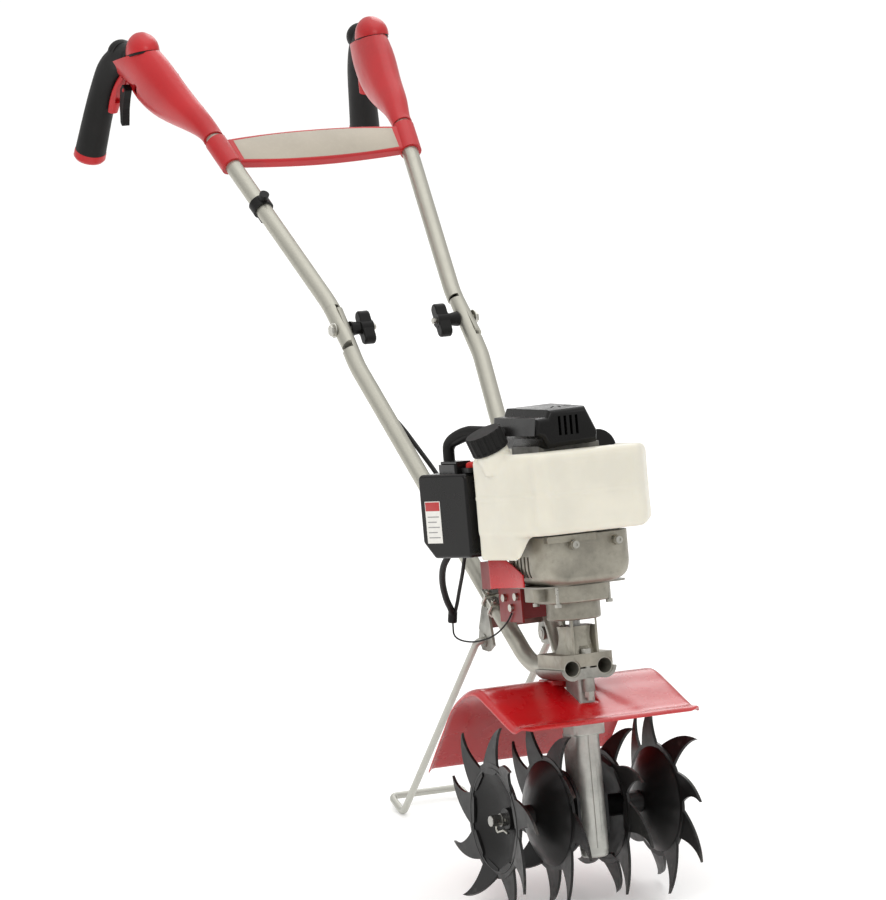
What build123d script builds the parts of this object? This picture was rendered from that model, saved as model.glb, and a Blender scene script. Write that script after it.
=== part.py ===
from build123d import *
import math
import os

os.makedirs("parts", exist_ok=True)

# ---------------------------------------------------------------------------
# Mini tiller. All shapes are drawn in a machine frame first: the worm shaft
# and crank axis is the Z axis, X is the tine axle direction, +Y is the
# operator's side. At the end everything is leaned back onto the kickstand.
# Lengths in millimetres.
# ---------------------------------------------------------------------------
LEAN_DEG = 13.2          # backward lean of the machine on its kickstand
ROW_Y = -502.215           # places the overall box centre on the Y axis
ROW_X = 0.0
AXLE_Y = 41.0            # worm-to-wheel centre distance
TINE_R = 120.0           # tine tip radius = axle height above ground
DISH_R = 66.0            # rim radius of the dished tine centre
TINE_T = 3.6             # tine plate thickness
RIM_OUT = 112.0          # rim plane of the outer tines
RIM_IN = 38.0            # rim plane of the inner tines
DISH_DEPTH = 24.0
ROW_Z = 119.76           # axle height above the ground
AXLE_D = 16.0
AXLE_HALF = 119.0
END_R = 7.0               # turned-down ends of the axle, from END_X outward
END_X = 105.15
N_TEETH = 9

WORM_R = 10.0
WHEEL_R = 30.6
WHEEL_W = 12.0
CASE_R = 46.0
COVER_R = 52.0

TUBE_R = 11.0            # handle tube outer radius
TUBE_T = 1.6
TUBE_X = 22.5            # half spacing of the handle tubes at the clamp
CLAMP_Z = 180.0
PIV_X, PIV_Y, PIV_Z = 88.0, 432.0, 614.0    # fold pivot
SD = (0.0, 0.69420, 0.71978)                # direction of the upper handle
ND = (0.0, -0.71978, 0.69420)               # its normal, up and forward
SPLAY = 0.14             # outward spread of the upper tubes per mm

FENDER_HALF = 125.0
FENDER_T = 2.0

BORE_R = 17.5
THROW = 13.0
ROD = 48.0
CYL_Z = 385.0

KICK_R = 4.5
KICK_Y, KICK_Z = 176.0, 212.0

parts = {}


def add(name, *shapes):
    out = []
    for s in shapes:
        if isinstance(s, (list, tuple, ShapeList)):
            for q in s:
                out += list(q.solids())
        else:
            out += list(s.solids())
    parts.setdefault(name, [])
    parts[name] += out


def V(x, y, z):
    return Vector(x, y, z)


def axis_plane(p, d, xd=None):
    d = Vector(*d) if isinstance(d, (tuple, list)) else d
    if xd is None:
        return Plane(origin=p, z_dir=d)
    return Plane(origin=p, x_dir=xd, z_dir=d)


def cyl(r, h, p, d=(0, 0, 1)):
    """Cylinder of radius r, length h, starting at p and going along d."""
    return axis_plane(p, d) * Cylinder(r, h, align=(Align.CENTER, Align.CENTER, Align.MIN))


def cone(r0, r1, h, p, d=(0, 0, 1)):
    return axis_plane(p, d) * Cone(r0, r1, h, align=(Align.CENTER, Align.CENTER, Align.MIN))


def ring(ro, ri, h, p, d=(0, 0, 1)):
    return cyl(ro, h, p, d) - cyl(ri, h, p, d)


def box(x0, x1, y0, y1, z0, z1):
    return Pos((x0 + x1) / 2, (y0 + y1) / 2, (z0 + z1) / 2) * Box(x1 - x0, y1 - y0, z1 - z0)


def soft(s, edges, r):
    try:
        q = fillet(edges, r)
        if q.is_valid and q.volume > 0:
            return q
    except Exception:
        pass
    return s


def rbox(x0, x1, y0, y1, z0, z1, r, ax=Axis.Z, r2=0):
    b = box(x0, x1, y0, y1, z0, z1)
    b = soft(b, b.edges().filter_by(ax), r)
    if r2:
        b = soft(b, b.edges().filter_by(ax, reverse=True), r2)
    return b


def hexa(af, h, p, d=(0, 0, 1)):
    pl = axis_plane(p, d)
    return extrude(pl * RegularPolygon(af / 2 / math.cos(math.pi / 6), 6), h)


def poly_solid(pts, plane, h):
    """Closed polygon given in the plane's own x,y, extruded by h."""
    return extrude(plane * make_face(Polyline(*pts, close=True)), h)


def run(pts, radii, r, ri=None):
    """Round bar or tube along straight runs joined by tangent arcs."""
    if len(pts) == 2:
        w = Line(pts[0], pts[1])
    else:
        w = FilletPolyline(*pts, radius=radii)
    d = (Vector(*pts[1]) - Vector(*pts[0])).normalized()
    o = sweep(Plane(origin=pts[0], z_dir=d) * Circle(r), path=w)
    if ri:
        o = o - sweep(Plane(origin=pts[0], z_dir=d) * Circle(ri), path=w)
    return o


def mirror_x(s):
    return mirror(s, Plane.YZ)


def HP(x, s, n):
    """Point given in the upper handle's own frame."""
    return (x, PIV_Y + SD[1] * s + ND[1] * n, PIV_Z + SD[2] * s + ND[2] * n)


HPL = Plane(origin=(0, PIV_Y, PIV_Z), x_dir=(1, 0, 0), z_dir=ND)   # local x, s, n


def ux(s):
    """Half spacing of the upper tubes' own centre lines above the fold."""
    return PIV_X + (s - 44.0) * (tx(478) - PIV_X) / 434.0


def tx(s):
    return PIV_X + SPLAY * max(0.0, s - 20.0) * 1.03


# ---------------------------------------------------------------------------
# Gear housing: lower leg with the worm, round case for the worm wheel
# ---------------------------------------------------------------------------
leg = rbox(-16, 16, -17, 17, -47, 98, 12)
foot = Pos(0, 0, -47) * Cylinder(17.2, 9, align=(Align.CENTER, Align.CENTER, Align.MAX))
foot = soft(foot, foot.edges().sort_by(Axis.Z)[:1], 5)
ridge = rbox(-4, 4, -18.6, -10, -44, 96, 1.5)
collar = rbox(-21, 21, -21, 22, 96, 113, 8, r2=1.5)
post = rbox(-11, 11, -19, 20, 112, 191, 4)
case = cyl(CASE_R, 34, (-17, AXLE_Y, 0), (1, 0, 0))
web = rbox(-7, 7, 10, 46, 40, 100, 3)
for k in (-1, 1):
    web = web + rbox(k * 14.5 - 1.5, k * 14.5 + 1.5, 6, 30, 30, 97, 1)
gear = leg + foot + ridge + collar + post + case + web
gear = gear - cyl(7.0, 110, (0, 0, 83))                        # shaft bore
gear = gear - cyl(11.4, 68, (0, 0, -34))                       # worm chamber
gear = gear - cyl(13.0, 8.2, (0, 0, -42.1)) - cyl(13.0, 52, (0, 0, 34))
gear = gear - cyl(32.6, 17, (-8.5, AXLE_Y, 0), (1, 0, 0))      # wheel chamber
gear = gear - cyl(9.2, 40, (-20, AXLE_Y, 0), (1, 0, 0))        # axle passage
for k in (-1, 1):                                              # bush seats
    gear = gear - cyl(12.0, 7.6, (k * 17.1, AXLE_Y, 0), (-k, 0, 0))
for a in range(6):                                             # cover screw holes
    t = math.radians(30 + 60 * a)
    py, pz = AXLE_Y + 40 * math.cos(t), 40 * math.sin(t)
    gear = gear - cyl(2.0, 36, (-18, py, pz), (1, 0, 0))
add("gear_housing", gear)

covers, cscrews = [], []
for k in (-1, 1):
    c = cyl(COVER_R, 4, (k * 17, AXLE_Y, 0), (k, 0, 0))
    c = c + cone(40, 31, 8, (k * 21, AXLE_Y, 0), (k, 0, 0))
    c = c - cyl(11.6, 14, (k * 16.9, AXLE_Y, 0), (k, 0, 0))
    # the leg side of the cover is cut away to clear the leg
    c = c - box(-40, 40, -30, -6.5, -60, 60)
    for a in range(6):
        t = math.radians(30 + 60 * a)
        py, pz = AXLE_Y + 40 * math.cos(t), 40 * math.sin(t)
        c = c - cyl(2.0, 6, (k * 16, py, pz), (k, 0, 0)) - cyl(5.2, 10, (k * 21.0, py, pz), (k, 0, 0))
        cscrews.append(cyl(2.0, 9.5, (k * 12.0, py, pz), (k, 0, 0)) + cyl(4.4, 4, (k * 21.0, py, pz), (k, 0, 0))
                       - hexa(4, 2.4, (k * 25.2, py, pz), (-k, 0, 0)))
    covers.append(c)
add("gear_side_covers", covers)

# ball bearings of the worm shaft and bushes of the axle, drum bearing
bearings = [ring(13.0, 5.03, 8, (0, 0, -42)), ring(13.0, 5.03, 8, (0, 0, 34.2)),
            ring(16.0, 7.53, 9, (0, 0, 222))]
for k in (-1, 1):
    bearings.append(ring(12.0, 8.04, 7.4, (k * 9.6, AXLE_Y, 0), (k, 0, 0)))
seals = [ring(11.5, 8.05, 6, (k * 20, AXLE_Y, 0), (k, 0, 0)) for k in (-1, 1)]
add("bearings", bearings, seals)

# ---------------------------------------------------------------------------
# Worm shaft, clutch drum
# ---------------------------------------------------------------------------
worm = cyl(5.0, 292, (0, 0, -42)) + cyl(7.4, 60, (0, 0, -30))
# helical thread shown as a stack of tilted collars along the worm
PITCH = 7.4
for i in range(-3, 4):
    col = Pos(0, 0, i * PITCH) * Rot(6.5, 0, 0) * (cone(9.75, 8.0, 1.9, (0, 0, 0)) + cone(9.75, 8.0, 1.9, (0, 0, 0), (0, 0, -1)))
    worm = worm + col
worm = worm & cyl(WORM_R, 400, (0, 0, -60))
worm = worm + cyl(7.0, 26, (0, 0, 212))
worm = worm - cyl(7.53, 12, (0, 0, 300))
worm = worm + ring(7.5, 4.5, 9.5, (0, 0, 221.8))
add("worm_shaft", worm)
drum = cyl(29.0, 3.5, (0, 0, 239)) + ring(29.0, 26.6, 20, (0, 0, 239)) - cyl(5.0, 8, (0, 0, 237))
for a in range(4):
    t = math.radians(45 + 90 * a)
    drum = drum - cyl(4, 6, (17 * math.cos(t), 17 * math.sin(t), 238))
add("clutch_drum", drum)

# ---------------------------------------------------------------------------
# Axle, worm wheel
# ---------------------------------------------------------------------------
axle = cyl(END_R, 2 * AXLE_HALF, (-AXLE_HALF, AXLE_Y, 0), (1, 0, 0))
axle = soft(axle, axle.edges().filter_by(GeomType.CIRCLE), 1.2)
axle = axle + cyl(AXLE_D / 2, 2 * END_X, (-END_X, AXLE_Y, 0), (1, 0, 0))
for k in (-1, 1):
    axle = axle - cyl(2.6, 30, (k * 102.5, AXLE_Y - 15, 0), (0, 1, 0))
add("tine_axle", axle)

wheel = ring(27.0, 8.0, WHEEL_W, (-WHEEL_W / 2, AXLE_Y, 0), (1, 0, 0))
tooth = extrude(Plane(origin=(-WHEEL_W / 2, AXLE_Y, 0), x_dir=(0, 1, 0), z_dir=(1, 0, 0)) *
                make_face(Polyline((26.0, -2.3), (29.2, -1.5), (30.6, -0.9), (30.6, 0.9), (29.2, 1.5), (26.0, 2.3), close=True)), WHEEL_W)
tooth = tooth - cyl(12.6, 60, (0, 0, -30))
teeth = []
NW = 30
for i in range(NW):
    a = 180 + 6 + 360.0 / NW * i
    teeth.append(Pos(0, AXLE_Y, 0) * Rot(a, 0, 0) * Pos(0, -AXLE_Y, 0) * tooth)
wheel = wheel + teeth
for a in range(6):
    t = math.radians(60 * a)
    wheel = wheel - cyl(3.5, 20, (-10, AXLE_Y + 18 * math.cos(t), 18 * math.sin(t)), (1, 0, 0))
add("worm_wheel", wheel)

# ---------------------------------------------------------------------------
# Tines: dished plate, nine curved blades, hub sleeve
# ---------------------------------------------------------------------------
BENDS = [2, 12, -5, 20, 0, 9, -6, 24, 5]      # outward set of each blade in degrees


def arc_pt(r, deg):
    return (r * math.cos(math.radians(deg)), r * math.sin(math.radians(deg)))


def blade(bend):
    """One blade in the plane x=0 around the origin, root at angle zero."""
    pl = Plane(origin=(0, 0, 0), x_dir=(0, 1, 0), z_dir=(1, 0, 0))
    lead = Spline(arc_pt(66.0, 19.0), arc_pt(84, 12.4), arc_pt(103, 11.6), arc_pt(TINE_R, 15.0))
    trail = Spline(arc_pt(TINE_R, 15.0), arc_pt(108, 6.5), arc_pt(90, -4.0), arc_pt(66.0, -18.5))
    root = Polyline(arc_pt(66.0, -18.5), arc_pt(60.0, -15), arc_pt(60.0, 15), arc_pt(66.0, 19.0))
    f = pl * make_face(Wire([lead.edge(), trail.edge()] + list(root.edges())))
    b = extrude(f, TINE_T / 2, both=True)
    return Pos(0, 64, 0) * Rot(0, 0, bend) * Pos(0, -64, 0) * b


def make_tine(rim, hub0, hub1, k, phase, dish_dir):
    """rim: rim plane; dish_dir: +1 when the bowl floor lies toward +k side."""
    d = DISH_DEPTH
    R = (DISH_R ** 2 + d * d) / (2 * d)
    # shell profile in (radius, axial) coordinates, axial 0 at the rim plane
    def cap(off):
        rr = R + off
        pts = []
        for i in range(9):
            r = 11.0 + (DISH_R - 11.0) * i / 8.0
            pts.append((r, (R - d) - math.sqrt(rr * rr - r * r)))
        return pts
    inner = cap(-TINE_T / 2)
    outer = cap(TINE_T / 2)
    pl = Plane.XY
    e1 = Spline(*[(a, r) for r, a in inner])
    e2 = Spline(*[(a, r) for r, a in outer])
    f = make_face(Wire([e1.edge(), Line(e1 @ 1, e2 @ 1).edge(), e2.edge(), Line(e2 @ 0, e1 @ 0).edge()]))
    bowl = revolve(f, Axis.X, 360)
    rimring = ring(DISH_R + 6, DISH_R - 3.2, TINE_T, (-TINE_T / 2, 0, 0), (1, 0, 0))
    t = bowl + rimring
    for i in range(N_TEETH):
        t = t + Rot(360.0 / N_TEETH * i, 0, 0) * blade(-BENDS[i] * (-k if dish_dir > 0 else k))
    # bowl floor is at axial -d; orient so that it points along dish_dir
    if dish_dir > 0:
        t = mirror(t, Plane.YZ)
    t = Rot(phase, 0, 0) * t
    t = Pos(rim, AXLE_Y, 0) * t
    hub = cyl(14.0, abs(hub1 - hub0), (min(hub0, hub1), AXLE_Y, 0), (1, 0, 0))
    t = t + hub - cyl(AXLE_D / 2, 300, (-150, AXLE_Y, 0), (1, 0, 0))
    return t


t1 = make_tine(-RIM_OUT, -98.0, -67.2, -1, 10.0, +1)
t2 = make_tine(-RIM_IN, -67.2, -31.0, -1, 31.0, -1)
t3 = make_tine(RIM_IN, 31.0, 67.2, 1, -12.0, +1)
t4 = make_tine(RIM_OUT, 67.2, 98.0, 1, 4.0, -1)
add("tine_outer_left", t1)
add("tine_inner_left", t2)
add("tine_inner_right", t3)
add("tine_outer_right", t4)

pins = []
for k in (-1, 1):
    x = k * 102.5
    loop = run([(x, AXLE_Y - 13, 0), (x, AXLE_Y + 18, 0), (x, AXLE_Y + 18, -17), (x, AXLE_Y - 2, -13), (x, AXLE_Y - 14, -16)],
               [4, 4, 5], 1.7)
    pins.append(loop)
add("hitch_pins", pins)

# ---------------------------------------------------------------------------
# Neck housing with the upper clamp plate, lower clamp
# ---------------------------------------------------------------------------
plate = rbox(-35, 35, -30, 46, 181, 197, 6)
plate = plate - box(-11.02, 11.02, -19.02, 20.02, 180, 191)
neck_o = loft([Plane(origin=(0, 4, 196)) * RectangleRounded(42, 52, 12), Plane(origin=(0, 2, 214)) * RectangleRounded(36, 42, 14),
               Plane(origin=(0, 1, 240)) * RectangleRounded(47, 50, 20)])
bell = cyl(33.5, 24, (0, 0, 239))
bell = soft(bell, bell.edges().sort_by(Axis.Z)[:1], 3)
flange = rbox(-43, 43, -43, 43, 261, 282, 30)
flange = soft(flange, flange.edges().sort_by(Axis.Z)[:1], 3)
ear = rbox(-57, -30, -14, 20, 265, 282, 6)
ribs = []
for k in (-1, 1):
    ribs.append(rbox(k * 16 - 1.8, k * 16 + 1.8, -26.5, 10, 194, 240, 1.2))
ribs.append(rbox(-2, 2, 10, 36, 194, 240, 1.2))
neck = plate + neck_o + bell + flange + ear + ribs
for k in (-1, 1):
    neck = neck - cyl(TUBE_R + 0.02, 140, (k * TUBE_X, -60, CLAMP_Z), (0, 1, 0))
neck = neck - box(-60, 60, -60, 80, 170, 181)
neck = neck - cyl(8.5, 40, (0, 0, 188)) - cyl(16.0, 9.0, (0, 0, 222)) - cyl(15.0, 14, (0, 0, 208.4)) - cyl(30.2, 60, (0, 0, 231))
for by in (-25, 33):
    neck = neck - cyl(8.0, 9, (0, by, 197))
neck = neck - rbox(6, 12, -40, -17.4, 207, 233, 1)              # inspection slot
for (bx, by) in ((-38, -30), (38, -30), (-38, 30), (38, 30)):
    neck = neck - cyl(2.5, 30, (bx * 0.92, by * 1.05, 258))
for by in (-25, 33):
    neck = neck - cyl(4.0, 40, (0, by, 170))
add("neck_housing", neck)

lower = None
for k in (-1, 1):
    s = cyl(15.2, 76, (k * TUBE_X, -30, CLAMP_Z), (0, 1, 0))
    lower = s if lower is None else lower + s
bar1 = rbox(-24, 24, -30, -20.0, 166, 178.9, 2, Axis.Y) + cyl(7.5, 17, (0, -25, 150))
bar2 = rbox(-24, 24, 21, 46, 164.5, 178.9, 2, Axis.Y)
lower = lower + bar1 + bar2
for k in (-1, 1):
    lower = lower - cyl(TUBE_R + 0.02, 120, (k * TUBE_X, -50, CLAMP_Z), (0, 1, 0))
lower = lower - box(-60, 60, -60, 80, 179, 220) - box(-11.02, 11.02, -19.02, 20.02, 150, 200)
for by in (-25, 33):
    lower = lower - cyl(4.0, 60, (0, by, 150))
add("lower_clamp", lower)

# ---------------------------------------------------------------------------
# Handle tubes
# ---------------------------------------------------------------------------
LD = Vector(0, 0.6212, 0.7837)
piv = Vector(PIV_X, PIV_Y, PIV_Z)
q0 = (TUBE_X, -28.0, CLAMP_Z)
q1 = (TUBE_X, 88.0, CLAMP_Z)
q2 = tuple(piv - LD * 62)
q3 = tuple(piv + LD * 40)
PX = axis_plane((0, PIV_Y, PIV_Z), (1, 0, 0))
lap = 36.0
low = run([q0, q1, q2, q3], [58, 150], TUBE_R, TUBE_R - TUBE_T)
end_zone = Plane(origin=tuple(Vector(0, PIV_Y, PIV_Z) - LD * lap), x_dir=(1, 0, 0), z_dir=tuple(LD)) * \
    Box(400, 200, 200, align=(Align.CENTER, Align.CENTER, Align.MIN))
solid_end = run([tuple(piv - LD * 60), tuple(piv + LD * 40)], None, TUBE_R)
d_end = (solid_end & end_zone) - box(PIV_X - 0.15, PIV_X + 60, PIV_Y - 150, PIV_Y + 150, PIV_Z - 150, PIV_Z + 150)
d_end = d_end & cyl(31, 60, (PIV_X - 40, PIV_Y, PIV_Z), (1, 0, 0)) + ((solid_end & end_zone) & box(PIV_X - 40, PIV_X - 0.15, PIV_Y - 60, PIV_Y, PIV_Z - 60, PIV_Z) & d_end)
lowR = (low - end_zone) + d_end
lowR = lowR - cyl(4.05, 60, (PIV_X - 30, PIV_Y, PIV_Z), (1, 0, 0))
add("lower_handle_right", lowR)
add("lower_handle_left", mirror_x(lowR))

# upper tube, drawn in the handle frame
u0 = HP(PIV_X, -40, 0)
u1 = HP(PIV_X, 44, 0)
u2 = HP(ux(440), 440, 0)
up = run([u0, u1, u2], [220], TUBE_R, TUBE_R - TUBE_T)
zone_up = Plane(origin=HP(0, lap, 0), x_dir=(1, 0, 0), z_dir=(-SD[0], -SD[1], -SD[2])) * \
    Box(400, 200, 200, align=(Align.CENTER, Align.CENTER, Align.MIN))
solid_up = run([HP(PIV_X, -44, 0), HP(PIV_X, 60, 0)], None, TUBE_R)
d_up = (solid_up & zone_up) - box(PIV_X - 60, PIV_X + 0.15, PIV_Y - 150, PIV_Y + 150, PIV_Z - 150, PIV_Z + 150)
d_up = d_up & (cyl(31, 60, (PIV_X - 10, PIV_Y, PIV_Z), (1, 0, 0)) +
               Plane(origin=HP(PIV_X, 0, 0), x_dir=(1, 0, 0), z_dir=SD) * Box(60, 80, 60, align=(Align.CENTER, Align.CENTER, Align.MIN)))
upR = (up - zone_up) + d_up
upR = upR - cyl(4.06, 60, (PIV_X - 30, PIV_Y, PIV_Z), (1, 0, 0))
add("upper_handle_right", upR)
add("upper_handle_left", mirror_x(upR))

# ---------------------------------------------------------------------------
# Fold knobs and their bolts
# ---------------------------------------------------------------------------
bolts = []
for k in (-1, 1):
    b = cyl(3.98, 63, (k * (PIV_X - 47), PIV_Y, PIV_Z), (k, 0, 0)) + hexa(13, 5.5, (k * (PIV_X + 11.4), PIV_Y, PIV_Z), (k, 0, 0))
    b = b + cyl(10, 1.4, (k * (PIV_X + 11.05), PIV_Y, PIV_Z), (k, 0, 0))
    bolts.append(b)
knobs = {}
for k, nm in ((-1, "fold_knob_left"), (1, "fold_knob_right")):
    stem = cone(10, 7.5, 14, (k * (PIV_X - 11.4), PIV_Y, PIV_Z), (-k, 0, 0))
    bar = Plane(origin=(k * (PIV_X - 33.5), PIV_Y, PIV_Z), x_dir=(0, 0.45, 0.893), z_dir=(1, 0, 0)) * extrude(SlotOverall(47, 17), 8, both=True)
    bar = soft(bar, bar.edges(), 2.5)
    kb = stem + bar + cyl(9.5, 17, (k * (PIV_X - 25), PIV_Y, PIV_Z), (-k, 0, 0))
    kb = kb - cyl(4.05, 80, (k * PIV_X, PIV_Y, PIV_Z), (-k, 0, 0))
    knobs[nm] = kb
    add(nm, kb)

# ---------------------------------------------------------------------------
# Fender
# ---------------------------------------------------------------------------
prof = [(200.5, 59.4), (150, 108), (102.5, 148.0), (43.5, 163.5), (3.6, 149.5), (-44.3, 127.9), (-62, 121.5), (-84, 121.5)]


def offset_profile(pts, t):
    outp = []
    for i, (y, z) in enumerate(pts):
        a = pts[max(0, i - 1)]
        b = pts[min(len(pts) - 1, i + 1)]
        dy, dz = b[0] - a[0], b[1] - a[1]
        L = math.hypot(dy, dz)
        outp.append((y + dz / L * t, z - dy / L * t))
    return outp


PYZ = Plane(origin=(-FENDER_HALF, 0, 0), x_dir=(0, 1, 0), z_dir=(1, 0, 0))
top_c = Spline(*prof)
bot_pts = offset_profile(prof, -FENDER_T)
bot_c = Spline(*bot_pts)
ff = make_face(Wire([top_c.edge(), Line(top_c @ 1, bot_c @ 1).edge(), bot_c.edge(), Line(bot_c @ 0, top_c @ 0).edge()]))
fender = extrude(PYZ * ff, 2 * FENDER_HALF)
# rounded front corners
for k in (-1, 1):
    cut = box(k * FENDER_HALF - 14, k * FENDER_HALF + 14, -100, -70, 90, 150)
    cut = cut - cyl(16, 80, (k * (FENDER_HALF - 16), -69, 85))
    cut = cut & box(min(k * (FENDER_HALF - 16), k * (FENDER_HALF + 20)), max(k * (FENDER_HALF - 16), k * (FENDER_HALF + 20)), -100, -69, 90, 150)
    fender = fender - cut
# opening for the leg post and the seat under the clamp
fender = fender - rbox(-12.5, 12.5, -22, 23, 80, 200, 5)
lug = rbox(-26, 26, 23.5, 64, 156, 164.5, 5)
fender = fender + lug
fender = fender - cyl(4.0, 80, (0, 33, 120))
add("fender", fender)

# ---------------------------------------------------------------------------
# Engine: fan case, crankcase, cylinder
# ---------------------------------------------------------------------------
fan_o = rbox(-65, 65, -61, 62, 284, 345, 34)
fan_o = soft(fan_o, fan_o.edges().sort_by(Axis.Z)[:8], 11)
boss_pts = [(-23, -47), (36, -47)]
bosses = []
for (bx, by) in boss_pts:
    bosses.append(cyl(6.2, 14, (bx, -56.0, 334), (0, -1, 0)))
fan_o = fan_o + bosses
fan_o = fan_o + rbox(-58, 10, -66, -52.1, 338, 346, 3)
fan_i = cyl(56.0, 46, (0, 0, 288)) + rbox(-56, 56, -36, 50, 288, 341, 24)
fan_i = fan_i - cyl(20, 10, (0, 0, 335))
fan = fan_o - fan_i - cyl(31.0, 8, (0, 0, 282))
fan = fan - cyl(7.56, 14, (0, 0, 333))
for (bx, by) in boss_pts:
    fan = fan - cyl(3.0, 10, (bx, -70.2, 334), (0, 1, 0))
slots = []
for i in range(5):
    slots.append(rbox(-66, -40, -22 + i * 10, -17 + i * 10, 296, 322, 2))
for sl in slots:
    fan = fan - (sl & box(-80, -58, -60, 80, 280, 350))
for (bx, by) in ((-38, -30), (38, -30), (-38, 30), (38, 30)):
    fan = fan - cyl(2.5, 5, (bx * 0.92, by * 1.05, 283.5))
add("fan_case", fan)

crank_o = rbox(-46, 46, -36, 44, 345, 432, 10)
crank_o = crank_o + box(-30, 30, 40, 47, 355, 415)
crank_i = cyl(24.0, 44, (0, 0, 363)) + box(-17.4, 17.4, 10, 60, 367.6, 402.4)
crank_c = crank_o - crank_i - cyl(7.55, 100, (0, 0, 340))
top = rbox(-48, 44, -46, 52, 432, 436, 8) + rbox(-44, 38, -40, 50, 436, 456, 8) - rbox(-40, 34, -36, 46, 436, 460, 6) - cyl(7.8, 20, (0, 0, 428))
add("crankcase", crank_c + top)

cylb = cyl(23.0, 58, (0, 47, CYL_Z), (0, 1, 0))
fins = []
for i in range(6):
    f = rbox(-36, 36, 52 + i * 8.5, 54.4 + i * 8.5, CYL_Z - 34, CYL_Z + 34, 8, Axis.Y)
    fins.append(f)
head = rbox(-30, 30, 94, 106, CYL_Z - 36, CYL_Z + 36, 5, Axis.Y)
cylb = cylb + fins + head + rbox(-32, 32, 47, 52, CYL_Z - 32, CYL_Z + 32, 6, Axis.Y)
cylb = cylb + cyl(11, 40, (-10, 84, CYL_Z), (-1, 0, 0)) + cyl(12, 40, (10, 84, CYL_Z), (1, 0, 0))
cylb = cylb - cyl(BORE_R + 0.05, 42.0, (0, 46, CYL_Z), (0, 1, 0))
cylb = cylb - cyl(6.5, 60, (-16, 84, CYL_Z), (-1, 0, 0)) - cyl(7, 60, (16, 84, CYL_Z), (1, 0, 0))
cylb = cylb - cyl(5.0, 40, (0, 84, CYL_Z + 16), (0.0, 0.30, 0.954))
add("cylinder", cylb)
rocker = rbox(-27, 27, 106, 126, CYL_Z - 33, CYL_Z + 33, 10, Axis.Y)
rocker = soft(rocker, rocker.faces().sort_by(Axis.Y)[-1].edges(), 5)
rocker = rocker - rbox(-24, 24, 105.9, 122, CYL_Z - 30, CYL_Z + 30, 8, Axis.Y)
for k in (-1, 1):
    rocker = rocker + cyl(5, 16, (0, 106, CYL_Z + k * 31), (0, 1, 0))
add("rocker_cover", rocker)

pist = cyl(17.45, 26, (0, THROW + ROD - 12, CYL_Z), (0, 1, 0))
pist = pist - cyl(14.6, 20, (0, THROW + ROD - 12.1, CYL_Z), (0, 1, 0))
pist = pist + cyl(4.5, 30.5, (-15.25, THROW + ROD, CYL_Z), (1, 0, 0))
for z in (0, 1, 2):
    pist = pist - ring(18, 16.4, 1.2, (0, THROW + ROD + 6 + z * 2.8, CYL_Z), (0, 1, 0))
add("piston", pist)
rod = ring(7.5, 4.52, 8, (-4, THROW + ROD, CYL_Z), (1, 0, 0))
rod = rod + (rbox(-3.2, 3.2, 19.8, THROW + ROD - 6.0, CYL_Z - 4.5, CYL_Z + 4.5, 1.5, Axis.Y))
rod = rod - cyl(4.52, 20, (-10, THROW + ROD, CYL_Z), (1, 0, 0))
rod = rod + (ring(24.0, 18.8, 8, (0, 0, CYL_Z - 4)) & box(-14, 14, 12, 30, CYL_Z - 5, CYL_Z + 5))
add("connecting_rod", rod)

crank = cyl(7.5, 108, (0, 0, 262)) + cyl(7.5, 58, (0, 0, 396))
crank = crank + cyl(19.5, 7, (0, 0, 369.5)) + cyl(19.5, 7, (0, 0, 393.5))
crank = crank + cyl(5.0, 32, (0, THROW, 369.5))
crank = crank - box(-40, 40, 6, 40, 360, 376.4) - box(-40, 40, 6, 40, 393.6, 403)
crank = crank + cyl(9.5, 7, (0, THROW - 1.5, 369.5)) + cyl(9.5, 7, (0, THROW - 1.5, 393.5)) + cyl(5.0, 20, (0, THROW, 374))
crank = crank & cyl(19.5, 300, (0, 0, 200)) 
add("crankshaft", crank)

fly = cyl(48, 6, (0, 0, 318)) + cyl(20, 28, (0, 0, 296)) - cyl(7.5, 60, (0, 0, 290))
fly = fly + ring(48, 40, 12, (0, 0, 312))
vanes = []
for i in range(16):
    v = box(24, 46, -1.2, 1.2, 298, 318.5)
    vanes.append(Rot(0, 0, 22.5 * i) * Pos(0, 0, 0) * v)
fly = fly + vanes
fly = fly - cyl(7.5, 60, (0, 0, 290))
add("flywheel", fly)
hubc = cyl(13, 33.6, (0, 0, 262.0)) - cyl(7.5, 40, (0, 0, 260))
shoes = [hubc + cyl(12, 4, (0, 0, 258.5)) - cyl(7.5, 5, (0, 0, 262))]
for k in (-1, 1):
    sh = ring(25.2, 14.5, 12, (0, 0, 244.5)) & box(-30, 30, 2.2 if k > 0 else -30, 30 if k > 0 else -2.2, 240, 260)
    sh = sh + (ring(22, 10, 5, (0, 0, 256.5)) & box(-30, 30, 2.2 if k > 0 else -30, 30 if k > 0 else -2.2, 240, 262))
    shoes.append(sh)
shoe_all = shoes[0] + shoes[1] + shoes[2]
add("clutch_shoes", shoe_all)

# ---------------------------------------------------------------------------
# Red engine bracket: plate under the fan case with two side cheeks
# ---------------------------------------------------------------------------
br = rbox(-60, 60, -40, 112, 282, 284, 14)
for k in (-1, 1):
    br = br + box(k * 47 - 1.25, k * 47 + 1.25, 46, 110, 238, 283)
br = br + box(-48, 48, 108, 110.5, 238, 283)
br = br + box(-78, -57, 66, 92, 282, 284) + box(-78, -76, 66, 92, 283, 316) + box(-77, -66.5, 90, 92, 283, 316) + box(-77, -66.5, 66, 68, 283, 316)
br = br - cyl(36.5, 60, (0, 0, 225))
for (bx, by) in ((-38, -30), (38, -30), (-38, 30), (38, 30)):
    br = br - cyl(2.5, 10, (bx * 0.92, by * 1.05, 279))
br = max(br.solids(), key=lambda q: q.volume)
add("engine_bracket", br)

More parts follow.
